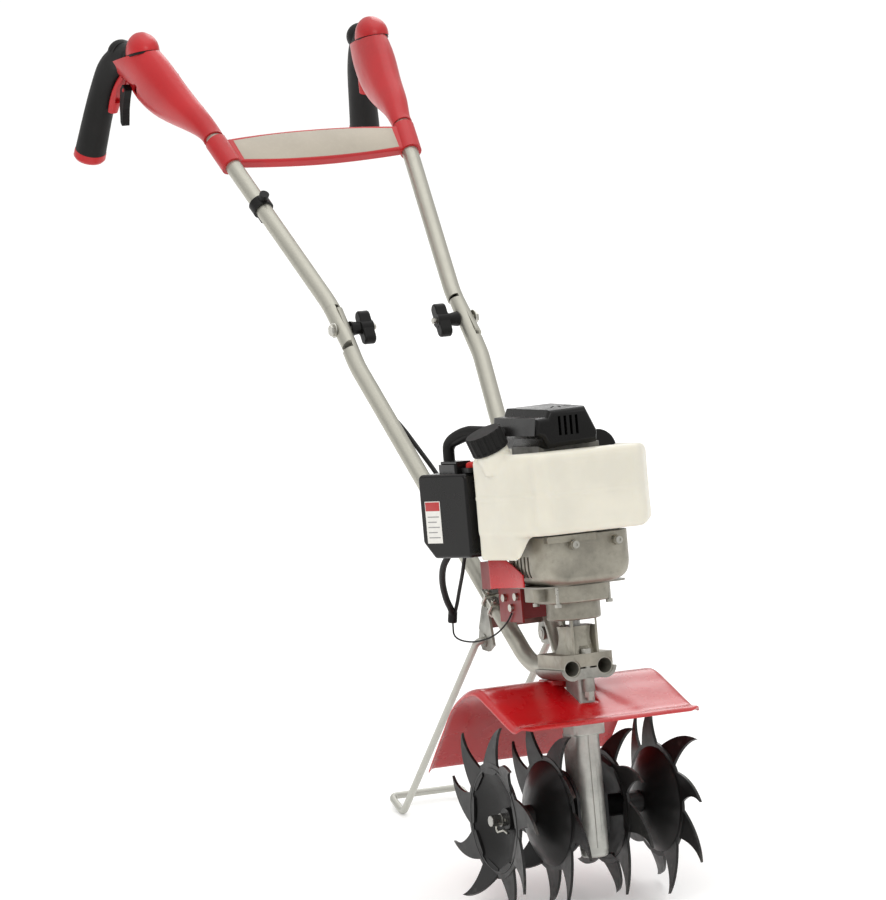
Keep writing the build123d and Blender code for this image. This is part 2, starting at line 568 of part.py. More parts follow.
# ---------------------------------------------------------------------------
# Fuel tank: U-shaped shell, filler neck
# ---------------------------------------------------------------------------
def tank_plan(o):
    """Outer plan of the tank shrunk by o, with the recess around the crankcase."""
    return [(-72 + o * 0.6, -94 + o), (66 - o * 0.6, -94 + o), (99 - o, -52 + o * 0.4), (104 - o, 6 - o), (72 + o, 6 - o), (66 + o, -48 - o),
            (-66 - o, -48 - o), (-86 + o, -30 - o * 0.3), (-86 + o, 21 - o), (-114 + o, 22 - o), (-104 + o, -50 + o * 0.4)]


def tank_body(o):
    t = poly_solid(tank_plan(o), Plane(origin=(0, 0, 349 + o)), 101 - 2 * o)
    lob = poly_solid([(-72 + o, -62 + o), (-98 + o, -54 + o * 0.4), (-112.5 + o, 19 - o), (-87 - o, 19 - o), (-87 - o, -24)], Plane(origin=(0, 0, 326 + o)), 40)
    return t, lob


t0, l0 = tank_body(0.0)
t0 = soft(t0, t0.edges().filter_by(Axis.Z), 9)
l0 = soft(l0, l0.edges().filter_by(Axis.Z), 7)
t0 = soft(t0, t0.faces().sort_by(Axis.Z)[-1].edges(), 8)
t0 = soft(t0, t0.faces().sort_by(Axis.Z)[0].edges(), 5)
l0 = soft(l0, l0.faces().sort_by(Axis.Z)[0].edges(), 6)
CAPD = Vector(-0.40, -0.05, 0.915).normalized()
CAPO = Vector(-99, -26, 444)
neckb = cyl(20.5, 22, tuple(CAPO - CAPD * 8), tuple(CAPD))
tank = t0 + l0 + neckb
t1i, l1i = tank_body(3.0)
t1i = soft(t1i, t1i.edges().filter_by(Axis.Z), 6)
tank = tank - t1i - l1i - cyl(15.0, 44, tuple(CAPO - CAPD * 22), tuple(CAPD))
tank = tank + ring(17.5, 15.0, 6.0, tuple(CAPO + CAPD * 14), tuple(CAPD))
add("fuel_tank", tank)
cap = cyl(23.5, 25, tuple(CAPO + CAPD * 14.6), tuple(CAPD))
cap = soft(cap, cap.edges().filter_by(GeomType.CIRCLE), 2.0)
grooves = []
plc = Plane(origin=tuple(CAPO + CAPD * 14.6), z_dir=tuple(CAPD))
for i in range(16):
    a = 2 * math.pi / 16 * i
    grooves.append(plc * Pos(25.2 * math.cos(a), 25.2 * math.sin(a), 3) * Cylinder(3.4, 30, align=(Align.CENTER, Align.CENTER, Align.MIN)))
for g in grooves:
    cap = cap - g
cap = cap - cyl(17.8, 7.2, tuple(CAPO + CAPD * 14.5), tuple(CAPD))
add("fuel_cap", cap)

# ---------------------------------------------------------------------------
# Carburettor side
# ---------------------------------------------------------------------------
carb = rbox(-86, -52, 68, 102, CYL_Z - 16, CYL_Z + 20, 4)
carb = carb + cyl(13, 6, (-50.6, 84, CYL_Z), (-1, 0, 0)) + cyl(6.3, 9, (-68, 61, CYL_Z - 4), (0, 1, 0)) + cyl(11, 8, (-70, 85, CYL_Z + 20), (0, 0, 1))
carb = carb - cyl(7, 60, (-45, 84, CYL_Z), (-1, 0, 0))
add("carburetor", carb)

base = rbox(-93, -87, 26, 120, 326, 431, 8, Axis.X)
base = base - cyl(8, 20, (-98, 84, CYL_Z), (1, 0, 0))
# moulded carrying loop that rises from the base and runs to the top shroud
loop = run([(-98, 112, 432), (-98, 112, 464), (-84, 66, 477), (-73, 40, 475)], [18, 16], 6.0)
base = base + rbox(-106, -87, 103, 121, 430.6, 435.5, 3) + rbox(-93, -87, 104, 120, 424, 433, 1) + loop


def ac_body(o):
    a = poly_solid([(26 + o, 326 + o), (98 - o * 0.5, 326 + o), (118.5 - o, 346 + o * 0.5), (118.5 - o, 430 - o), (26 + o, 430 - o)],
                   Plane(origin=(-142 + o, 0, 0), x_dir=(0, 1, 0), z_dir=(1, 0, 0)), 48.6 - o)
    # the outer face slants in toward the front
    a = a - Plane(origin=(-142 + o, 119, 378), x_dir=(0, 0, 1), z_dir=(-1, -0.245, 0)) * Box(260, 300, 60, align=(Align.CENTER, Align.CENTER, Align.MIN))
    return a


aco = ac_body(0.0)
aco = soft(aco, aco.edges().filter_by(Axis.X), 7)
aco = soft(aco, aco.faces().sort_by(Axis.X)[0].edges(), 4)
aci = ac_body(2.5)
acc = aco - aci - box(-93.3, -80, 0, 140, 300, 450)
acc = acc + rbox(-120, -97, 50, 100, 430, 441, 3, Axis.Z)
acc = acc + rbox(-117, -97, 52, 98, 441, 444.5, 1.2, Axis.Y)
acc = acc - rbox(-113, -97, 60, 90, 427.7, 438, 2)
add("air_cleaner_cover", acc)
filt = rbox(-108, -93.5, 38, 106, 338, 420, 6, Axis.X)
add("air_filter", filt)

prim = cyl(9.5, 9, (-101, 36, 434.4), (0, 0, 1))
prim = soft(prim, prim.edges().sort_by(Axis.Z)[-1:], 5)
add("primer_bulb", prim)
base_ext = rbox(-113, -89, 24, 48, 430.6, 436.4, 3) - cyl(9.9, 8, (-101, 36, 431.4))
base_ext = base_ext + box(-93, -87, 26, 48, 424, 431.4)
add("air_cleaner_base", base + base_ext)

choke = cyl(5, 3, (-70, 103.2, CYL_Z + 4), (0, 1, 0)) + rbox(-73, -67, 103.2, 106.2, CYL_Z + 4, CYL_Z + 34, 2.5, Axis.Y)
choke = choke + cyl(2.0, 1.3, (-70, 102.0, CYL_Z + 4), (0, 1, 0))
add("choke_lever", choke)

# ---------------------------------------------------------------------------
# Exhaust side
# ---------------------------------------------------------------------------
muf = rbox(52, 92, 50, 116, 350, 432, 8)
muf = soft(muf, muf.edges().filter_by(Axis.Z, reverse=True), 4)
muf = muf - rbox(54, 90, 52, 114, 352, 430, 6)
muf = muf + cyl(12, 4, (50, 84, CYL_Z), (1, 0, 0)) + cyl(6, 13, (72, 113, 366), (0, 1, 0)) - cyl(4.6, 16, (72, 111, 366), (0, 1, 0)) - cyl(7, 8, (49, 84, CYL_Z), (1, 0, 0))
add("muffler", muf)
arch = Plane(origin=(0, 44, 0), x_dir=(1, 0, 0), z_dir=(0, -1, 0))
sh_o = extrude(Plane(origin=(74, 122, 0), x_dir=(1, 0, 0), z_dir=(0, -1, 0)) *
               make_face(Wire([Line((-24, 345.3), (24, 345.3)).edge(), Line((24, 345.3), (26, 440)).edge(),
                               ThreePointArc((26, 440), (0, 467), (-26, 440)).edge(), Line((-26, 440), (-24, 345.3)).edge()])), 78)
sh_i = extrude(Plane(origin=(74, 123, 0), x_dir=(1, 0, 0), z_dir=(0, -1, 0)) *
               make_face(Wire([Line((-30, 340), (22, 340)).edge(), Line((22, 340), (24, 439)).edge(),
                               ThreePointArc((24, 439), (0, 465), (-24, 439)).edge(), Line((-24, 439), (-30, 340)).edge()])), 77)
shield = sh_o - sh_i - box(40, 56, 30, 130, 330, 440) 
for i in range(5):
    shield = shield - rbox(90, 104, 58 + i * 11, 63 + i * 11, 380, 424, 2)
add("muffler_shield", shield)

plug_o = Vector(0, 84, CYL_Z + 16)
pd = Vector(0, 0.30, 0.954).normalized()
plug = cyl(5.0, 19, tuple(plug_o + pd * 6), tuple(pd)) + hexa(16, 7, tuple(plug_o + pd * 24.8), tuple(pd)) + cyl(4.4, 18, tuple(plug_o + pd * 31.5), tuple(pd))
plug = plug - cyl(2.6, 3, tuple(plug_o + pd * 5.5), tuple(pd))
add("spark_plug", plug)
boot = cyl(8.5, 20, tuple(plug_o + pd * 34), tuple(pd)) - cyl(4.4, 15.6, tuple(plug_o + pd * 33.9), tuple(pd))
pb = plug_o + pd * 52.4
lead_pts = [tuple(pb), (0, pb.Y + 24, pb.Z + 1), (30, 134, 436), (42, 135, 350), (28, 114, 308), (14, 84, 311), (14, 62.02, 311)]
lead = run(lead_pts, [9, 14, 20, 14, 10], 2.8)
add("wiring", boot + lead)

# ---------------------------------------------------------------------------
# Top: recoil starter case, reel, grip and rope
# ---------------------------------------------------------------------------
rc = extrude(Plane(origin=(0, 66, 0), x_dir=(1, 0, 0), z_dir=(0, -1, 0)) *
             make_face(Polyline((-58, 453), (46, 456), (50, 470), (22, 504), (-54, 503), (-60, 494), (-80, 493), (-84, 470), (-70, 466), (-62, 455), close=True)), 128)
rc = soft(rc, rc.edges().filter_by(Axis.Z), 10)
rc = soft(rc, rc.faces().sort_by(Axis.Y)[0].edges(), 7)
rc = soft(rc, rc.faces().sort_by(Axis.Y)[-1].edges(), 7)
rc = rc - rbox(-50, 20, -58, 57, 450, 499.5, 8) - rbox(-52, 40, -52, 57, 450, 470, 8)
for i in range(5):
    a = math.radians(225 + 22 * i)
    cx, cy = 0 + 30 * math.cos(a), 0 + 30 * math.sin(a)
    rc = rc - (Pos(cx, cy, 500) * Rot(0, 0, 225 + 22 * i) * Box(24, 3.4, 30))
for i in range(4):
    rc = rc - rbox(-40 + i * 11, -35 + i * 11, -64, -52, 468, 494, 2, Axis.Z)
RGD = Vector(0.0, 0.819, 0.574).normalized()
RGO = Vector(10, 69.5, 480)
rc = rc - cyl(3.2, 50, tuple(RGO - RGD * 40), tuple(RGD))
rc = rc + ring(9, 3.2, 8, tuple(RGO - RGD * 8), tuple(RGD))
rc = rc - cyl(6.02, 60, (-84, 66, 477), (11, -26, -2))
rcs = [s for s in rc.solids() if s.volume > 500]
rc = Compound(children=rcs) if len(rcs) > 1 else rcs[0]
add("recoil_case", rc)
gr = Plane(origin=tuple(RGO + RGD * 1.0), x_dir=(1, 0, 0), z_dir=tuple(RGD))
grip = extrude(gr * SlotOverall(66, 16), 15)
grip = soft(grip, grip.edges(), 4)
grip = grip + gr * Pos(0, 0, 15) * Cylinder(11, 7) - cyl(2.2, 10, tuple(RGO), tuple(RGD))
add("starter_grip", grip)
rope = run([tuple(RGO + RGD * 9.5), tuple(RGO - RGD * 36)], None, 2.0)
add("starter_rope", rope)

# ---------------------------------------------------------------------------
# Hoses and wires
# ---------------------------------------------------------------------------
h1 = run([(-83, -8, 362), (-75, -8, 362), (-75, 50, 367), (-81, 58, 374), (-81, 67.97, 374)], [5, 10, 6], 3.0)
h2 = run([(-83, 4, 430), (-75, 4, 430), (-74, 46, 420), (-80, 57, 399), (-80, 67.97, 399)], [5, 14, 8], 3.0)
add("fuel_hoses", h1, h2)

# stop-switch leads below the air cleaner, joined in one boot, and the earth wire
w1 = run([(-104, 122, 330), (-104, 146, 318), (-81, 196, 262), (-70.5, 204, 247)], [22, 12], 4.2)
w2 = run([(-84, 122, 322), (-78, 138, 306), (-69, 190, 262), (-66, 202, 251)], [16, 14], 2.4)
con = cyl(6, 16, (-69, 206, 252), (-0.1, 0.1, -1))
earth = run([(-69.6, 207, 240), (-69.5, 208, 226), (-67, 168, 214), (-52, 112, 223), (-50.2, 72, 249.6)], [8, 20, 30], 1.1)
add("wiring", w1 + w2 + con + earth)

# throttle cable: from the left handle head, under the tube, to the carburettor


def LP(t, dx, dn):
    """Point beside the left lower tube: t along it, dx inboard, dn above."""
    c = Vector(TUBE_X, 88, CLAMP_Z)
    e = piv - LD * 62
    u = (e - c).normalized()
    q = c + u * t
    return (-q.X + dx, q.Y - 0.7837 * dn, q.Z + 0.6212 * dn)


tc = [HP(-150, 452, -47), HP(-131, 400, -26), HP(-(tx(330)) + 7, 330, -17), HP(-PIV_X + 7, 44, -19), LP(470, 8, -19), LP(400, 17, -7), LP(300, 19, 7),
      (-57, 170, 353), (-62, 126, 374), (-62, 102.02, 374)]
rr = []
for i in range(1, len(tc) - 1):
    a = Vector(*tc[i]) - Vector(*tc[i - 1])
    b = Vector(*tc[i + 1]) - Vector(*tc[i])
    ang = math.radians(a.get_angle(b))
    rr.append(min(200.0, 0.45 * min(a.length, b.length) / math.tan(ang / 2)))
print("throttle cable radii", [round(q, 1) for q in rr])
cable = run(tc, rr, 3.0)
add("throttle_cable", cable)

# ---------------------------------------------------------------------------
# Kickstand and its bracket
# ---------------------------------------------------------------------------
FOOT_Z = -21.9
kp = [(-36, KICK_Y, KICK_Z), (-53, KICK_Y, KICK_Z), (-50, 461, FOOT_Z), (-50, 496, -2), (50, 496, -2), (50, 461, FOOT_Z), (53, KICK_Y, KICK_Z), (36, KICK_Y, KICK_Z)]
kick = run(kp, [8, 14, 9, 9, 14, 8], KICK_R)
add("kickstand", kick)
kb = None
for k in (-1, 1):
    pl = Plane(origin=(k * 41.5 - 1.75, 0, 0), x_dir=(0, 1, 0), z_dir=(1, 0, 0))
    ch = poly_solid([(150, 206), (166, 198), (184, 200), (192, 214), (184, 236), (170, 262), (160, 262)], pl, 3.5)
    kb = ch if kb is None else kb + ch
    kb = kb + ring(8.5, KICK_R + 0.05, 8, (k * 36.5, KICK_Y, KICK_Z), (k, 0, 0))
cross = poly_solid([(165.5, 226), (190, 226), (172, 262), (160, 262)], Plane(origin=(-43, 0, 0), x_dir=(0, 1, 0), z_dir=(1, 0, 0)), 86)
cross = cross - poly_solid([(160, 220), (183, 220), (170, 259), (155, 259)], Plane(origin=(-39.7, 0, 0), x_dir=(0, 1, 0), z_dir=(1, 0, 0)), 79.4)
kb = kb + cross
for k in (-1, 1):
    kb = kb - cyl(KICK_R + 0.05, 30, (k * 30, KICK_Y, KICK_Z), (k, 0, 0))
    dirl = (Vector(k * PIV_X, PIV_Y, PIV_Z) - LD * 62 - Vector(k * TUBE_X, 88, CLAMP_Z)).normalized()
    kb = kb - cyl(TUBE_R, 700, (k * TUBE_X, 88, CLAMP_Z), tuple(dirl))

# saddle clamps: U-bolts around the handle tubes that hold the bracket
ub = []
for k in (-1, 1):
    dirl = (Vector(k * PIV_X, PIV_Y, PIV_Z) - LD * 62 - Vector(k * TUBE_X, 88, CLAMP_Z)).normalized()
    for t in (92, 108):
        c = Vector(k * TUBE_X, 88, CLAMP_Z) + dirl * t
        pl = Plane(origin=tuple(c), x_dir=(1, 0, 0), z_dir=tuple(dirl))
        u = pl * Pos(0, 0, 0) * Torus(TUBE_R + 2.3, 2.2)
        u = u & (pl * Pos(0, 40, 0) * Box(80, 80, 20))
        legs_ = None
        for m in (-1, 1):
            lg = pl * Pos(m * (TUBE_R + 2.3), 0, 0) * Rot(90, 0, 0) * Cylinder(2.2, 27, align=(Align.CENTER, Align.CENTER, Align.MIN))
            legs_ = lg if legs_ is None else legs_ + lg
        bar = pl * Pos(0, -19.0, 0) * Box(40, 3.2, 11)
        nuts = None
        for m in (-1, 1):
            nt = pl * Pos(m * (TUBE_R + 2.3), -20.6, 0) * Rot(90, 0, 0) * Cylinder(4.6, 4, align=(Align.CENTER, Align.CENTER, Align.MIN))
            nuts = nt if nuts is None else nuts + nt
        ub.append(u + legs_ + bar + nuts)
for u in ub:
    kb = kb - u
add("kickstand_bracket", [q for q in kb.solids() if q.volume > 200])
add("kickstand_ubolts", ub)

# ---------------------------------------------------------------------------
# Handle furniture, drawn in the handle frame (x, s, n)
# ---------------------------------------------------------------------------
def sec(xc, s, nc, rx, rn, tilt=0.0):
    pl = Plane(origin=HP(xc, s, nc), x_dir=(1, 0, 0), z_dir=tuple(Vector(*SD) * math.cos(math.radians(tilt)) + Vector(*ND) * math.sin(math.radians(tilt))))
    return pl * Ellipse(rx, rn)


def head_body(o=0.0, s0=368.0, s1=604.0):
    S = [(0, 368, 0, 13.8, 13.8), (0, 392, -2.5, 15.5, 16.5), (2, 432, -13, 19, 26), (3, 470, -24, 22, 35), (4, 510, -31, 24, 42), (4, 545, -35, 23.5, 42), (6, 580, -40, 22, 38), (7, 604, -45, 20, 31)]
    return loft([sec(-tx(s) - dx, s, n, rx - o, rn - o) for dx, s, n, rx, rn in S if s0 <= s <= s1])


body = head_body()
nose_pl = Plane(origin=HP(-tx(560) - 4, 560, -18), x_dir=(1, 0, 0), z_dir=tuple((Vector(*SD) * 0.78 + Vector(*ND) * 0.62).normalized()))
nose = nose_pl * (loft([Ellipse(21.5, 32), Pos(0, 0, 14) * Ellipse(19.5, 28), Pos(0, 2, 24) * Ellipse(13.5, 18), Pos(0, 3, 29) * Ellipse(6, 8)]))
cutnose = nose_pl * Pos(0, 0, -1.2) * Box(90, 120, 80, align=(Align.CENTER, Align.CENTER, Align.MIN))
body = body - cutnose
inner = head_body(3.2, 392.0, 545.0)
core = run([HP(-ux(380), 380, 0), HP(-ux(444), 444, 0)], None, 13.4)
headL = (body - (inner - core)) + nose_pl * extrude(Ellipse(19.0, 29.5), -12) + nose
gp = [(-180, 592, -52, 16, 20, -40), (-186, 602, -82, 17, 21, -68), (-191, 598, -112, 16.5, 19.5, -84), (-197, 586, -148, 16.5, 19, -96), (-203, 571, -184, 17, 19, -104), (-206, 563, -204, 17.5, 19.5, -106)]
gripS = loft([sec(*g) for g in gp])
bulge = Plane(origin=HP(-178, 604, -56)) * Sphere(19)
bridge = loft([sec(-173, 568, -42, 18, 25, -20), sec(-180, 601, -60, 17, 22, -48)])
gripS = gripS + bulge + bridge
gripL = gripS - headL
# bezel band in the seam under the nose
band = nose_pl * (extrude(Ellipse(20.6, 31.0), -3.4) - extrude(Ellipse(18.9, 29.4), -3.4))
band = band - headL
insert = loft([sec(-176, 575, -66, 8, 6, -80), sec(-182, 575, -92, 9, 7, -88), sec(-188, 566, -128, 7, 5, -98)])
insert = insert - headL
gripL = gripL - insert
headL = headL + [q for q in insert.solids() if q.volume > 60]
headL2 = headL
tubeL_cut = run([HP(-PIV_X, -40, 0), HP(-PIV_X, 44, 0), HP(-ux(440), 440, 0)], [220], TUBE_R)
headL2 = headL2 - tubeL_cut
# cable outlet
swb = Plane(origin=HP(-tx(500) + 21.0, 500, -24), x_dir=SD, z_dir=(1, 0, 0)) * Pos(0, 0, -3) * Box(30, 16, 10)
swb = swb - Plane(origin=HP(-tx(500) + 21.0, 500, -24), x_dir=SD, z_dir=(1, 0, 0)) * Pos(0, 0, 3) * Box(24, 9.4, 5)
headL2 = headL2 + swb
headL2 = headL2 - run([HP(-150, 452, -47), HP(-131, 400, -26)], None, 3.02)
# trigger blade in the s-n plane
tr_plane = Plane(origin=(-178.0, PIV_Y, PIV_Z), x_dir=SD, z_dir=(-1, 0, 0))
trig = extrude(tr_plane * make_face(Polyline((548, 72), (560, 72), (563, 84), (552, 104), (537, 122), (527, 122), (540, 100), (545, 86), close=True)), 10)
trig = soft(trig, trig.edges().filter_by(Axis.X), 2.5)
slot_t = extrude(Plane(origin=(-177.4, PIV_Y, PIV_Z), x_dir=SD, z_dir=(-1, 0, 0)) * make_face(Polyline((520, 40), (571, 40), (571, 112), (515, 112), close=True)), 11.2)
headL2 = headL2 - slot_t
headL2 = headL2 + cyl(2.4, 12, HP(-177, 553, -76.5), (-1, 0, 0))
trig = trig - cyl(2.45, 14, HP(-177, 553, -76.5), (-1, 0, 0))
gripL = gripL - slot_t
headL_all = [s for s in headL2.solids() if s.volume > 300]
add("handle_head_left", headL_all)
add("throttle_trigger", trig)
sw_pl = Plane(origin=HP(-tx(500) + 21.0, 500, -24), x_dir=SD, z_dir=(1, 0, 0))
drain = Plane(origin=HP(-tx(500), 500, -76), x_dir=SD, z_dir=ND) * Box(40, 5, 14)
headR = mirror_x(headL - tubeL_cut - drain)
gripR = mirror_x(gripS - headL - insert)
add("handle_head_right", [s for s in headR.solids() if s.volume > 300])
bigs = [s for s in gripL.solids() if s.volume > 500]
add("rubber_grips", bigs, [s for s in gripR.solids() if s.volume > 500])
add("rubber_grips", [s for s in band.solids() if s.volume > 50], [mirror_x(s) for s in band.solids() if s.volume > 50])

# cross brace with its inlaid panel
xb = tx(337)
bw = xb
brace_pl = HPL
pts_o = [(-bw + 8, 337 - 21), (-60, 337 - 27), (0, 337 - 28.5), (60, 337 - 27), (bw - 8, 337 - 21), (bw - 2, 337 + 21), (60, 337 + 27), (0, 337 + 29), (-60, 337 + 27), (-bw + 2, 337 + 21)]
lo_e = Spline((-bw + 6, 337 - 21), (-60, 337 - 26.5), (0, 337 - 28.5), (60, 337 - 26.5), (bw - 6, 337 - 21))
hi_e = Spline((bw, 337 + 21), (60, 337 + 27.5), (0, 337 + 29), (-60, 337 + 27.5), (-bw, 337 + 21))
bface = make_face(Wire([lo_e.edge(), Line(lo_e @ 1, hi_e @ 0).edge(), hi_e.edge(), Line(hi_e @ 1, lo_e @ 0).edge()]))
brace = extrude(brace_pl * bface, 7, both=True)
brace = soft(brace, brace.edges(), 3)
sleeves = None
for k in (-1, 1):
    a = HP(k * tx(314), 314, 0)
    d = (Vector(*HP(k * tx(362), 362, 0)) - Vector(*a))
    s = cyl(14.6, d.length, a, tuple(d.normalized()))
    brace = brace + s
lo_i = Spline((-bw + 26, 337 - 13.5), (-60, 337 - 18.5), (0, 337 - 20.5), (60, 337 - 18.5), (bw - 26, 337 - 13.5))
hi_i = Spline((bw - 22, 337 + 13.5), (60, 337 + 19), (0, 337 + 21), (-60, 337 + 19), (-bw + 22, 337 + 13.5))
pface = make_face(Wire([lo_i.edge(), Line(lo_i @ 1, hi_i @ 0).edge(), hi_i.edge(), Line(hi_i @ 1, lo_i @ 0).edge()]))
panel = extrude(brace_pl * pface, 5.6, both=True)
brace = brace - extrude(brace_pl * pface, 10, both=True)
tcut = run([HP(PIV_X, -40, 0), HP(PIV_X, 44, 0), HP(ux(440), 440, 0)], [220], TUBE_R)
brace = brace - tcut - mirror_x(tcut)
add("cross_brace", [s for s in brace.solids() if s.volume > 500])
add("brace_panel", panel)

# cable clip on the left upper tube, wire tie lower down
s0 = 236.0
a = HP(-ux(s0 - 8), s0 - 8, 0)
d = (Vector(*HP(-ux(s0 + 8), s0 + 8, 0)) - Vector(*a)).normalized()
clip = cyl(TUBE_R + 3.2, 15, a, tuple(d)) + cyl(7.0, 15, HP(-ux(s0 - 8) + 6.5, s0 - 8, -18), tuple(d)) + cyl(6.5, 22, HP(-ux(s0), s0, 0.0), ND)
clip = clip - mirror_x(tcut) - cable
add("cable_clip", [s for s in clip.solids() if s.volume > 200])

# stop switch: rocker on the inboard face of the left head
add("stop_switch", sw_pl * Pos(-3.5, 0, 3.4) * Box(12, 8, 5))

# ---------------------------------------------------------------------------
# Bolts of the fixed frame
# ---------------------------------------------------------------------------
fb = []
b1 = cyl(4.0, 62, (0, -25, 139)) + hexa(12.5, 6, (0, -25, 197)) + hexa(11, 7, (0, -25, 143))
b2 = cyl(4.0, 54, (0, 33, 147)) + hexa(13, 6, (0, 33, 197)) + hexa(13, 7, (0, 33, 149))
fb += [b1, b2]
for (bx, by) in ((-38, -30), (38, -30), (-38, 30), (38, 30)):
    fb.append(cyl(2.5, 30, (bx * 0.92, by * 1.05, 257)) + cyl(4.4, 4, (bx * 0.92, by * 1.05, 257)))
for (bx, by) in boss_pts:
    fb.append(cyl(3.0, 10, (bx, -70.2, 334), (0, 1, 0)) + cyl(4.6, 2.2, (bx, -70.0, 334), (0, -1, 0)) - hexa(4, 1.6, (bx, -72.3, 334), (0, 1, 0)))
for (x, y, z) in ((-49, 58, 270), (-49, 74, 256), (-49, 92, 268)):
    fb.append(cyl(4.8, 3.6, (-48.25, y, z), (-1, 0, 0)))
fb += bolts + cscrews
add("frame_bolts", fb)

# ---------------------------------------------------------------------------
# Lean back onto the kickstand and write the files
# ---------------------------------------------------------------------------
place = Pos(ROW_X, ROW_Y, ROW_Z) * Rot(-LEAN_DEG, 0, 0) * Pos(0, -AXLE_Y, 0)
lo = [1e9] * 3
hi = [-1e9] * 3
for name, sol in parts.items():
    moved = [place * s for s in sol]
    comp = Compound(children=moved) if len(moved) > 1 else moved[0]
    comp.label = name
    export_step(comp, f"parts/{name}.step")
    bb = comp.bounding_box()
    for i, (a, b) in enumerate(((bb.min.X, bb.max.X), (bb.min.Y, bb.max.Y), (bb.min.Z, bb.max.Z))):
        lo[i] = min(lo[i], a)
        hi[i] = max(hi[i], b)
    bad = [i for i, s in enumerate(moved) if not s.is_valid]
    print(f"{name:24s} n={len(moved)} vol={sum(s.volume for s in moved)/1000:9.2f}cm3 z=({bb.min.Z:7.1f},{bb.max.Z:7.1f}) bad={bad}")
print("nodes", len(parts), "box", [round(v, 2) for v in lo], [round(v, 2) for v in hi], "centre", [round((a + b) / 2, 3) for a, b in zip(lo, hi)])
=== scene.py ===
import bpy, bmesh, math
import numpy as np
from mathutils import Vector, Matrix, Quaternion


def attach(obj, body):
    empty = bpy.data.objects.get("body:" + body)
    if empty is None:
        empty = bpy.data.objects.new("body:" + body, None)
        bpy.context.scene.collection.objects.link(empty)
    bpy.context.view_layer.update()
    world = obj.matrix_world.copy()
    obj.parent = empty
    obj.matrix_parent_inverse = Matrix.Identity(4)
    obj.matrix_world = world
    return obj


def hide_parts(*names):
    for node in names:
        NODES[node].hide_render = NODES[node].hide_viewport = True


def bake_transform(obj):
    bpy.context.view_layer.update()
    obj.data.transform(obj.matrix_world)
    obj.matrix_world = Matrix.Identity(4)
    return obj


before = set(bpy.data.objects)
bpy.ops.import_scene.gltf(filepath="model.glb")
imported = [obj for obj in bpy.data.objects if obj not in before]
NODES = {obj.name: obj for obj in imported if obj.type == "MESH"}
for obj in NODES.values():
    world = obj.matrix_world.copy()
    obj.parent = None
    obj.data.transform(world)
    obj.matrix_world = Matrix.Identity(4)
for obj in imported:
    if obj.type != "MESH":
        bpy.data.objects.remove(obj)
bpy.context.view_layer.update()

COL = bpy.context.scene.collection

# ------------------------------------------------------------------ the machine frame
LEAN = math.radians(13.2)
CL, SL = math.cos(LEAN), math.sin(LEAN)
ROW_Y, ROW_Z, AXLE_Y = -502.215, 119.76, 41.0


def R(p):
    """Machine frame in mm to the shared frame in m."""
    x, y, z = p
    return Vector((x, ROW_Y + (y - AXLE_Y) * CL + z * SL, ROW_Z - (y - AXLE_Y) * SL + z * CL)) / 1000.0


def RD(d):
    x, y, z = d
    return Vector((x, y * CL + z * SL, -y * SL + z * CL)).normalized()


PIV = (88.0, 432.0, 614.0)


def HPm(x, s, n):
    """Upper handle frame (x, along, normal) to the machine frame."""
    return (x, PIV[1] + 0.6942 * s - 0.71978 * n, PIV[2] + 0.71978 * s + 0.6942 * n)


def HP(x, s, n):
    return R(HPm(x, s, n))


def tx(s):
    return 88.0 + 0.14 * max(0.0, s - 20.0) * 1.03


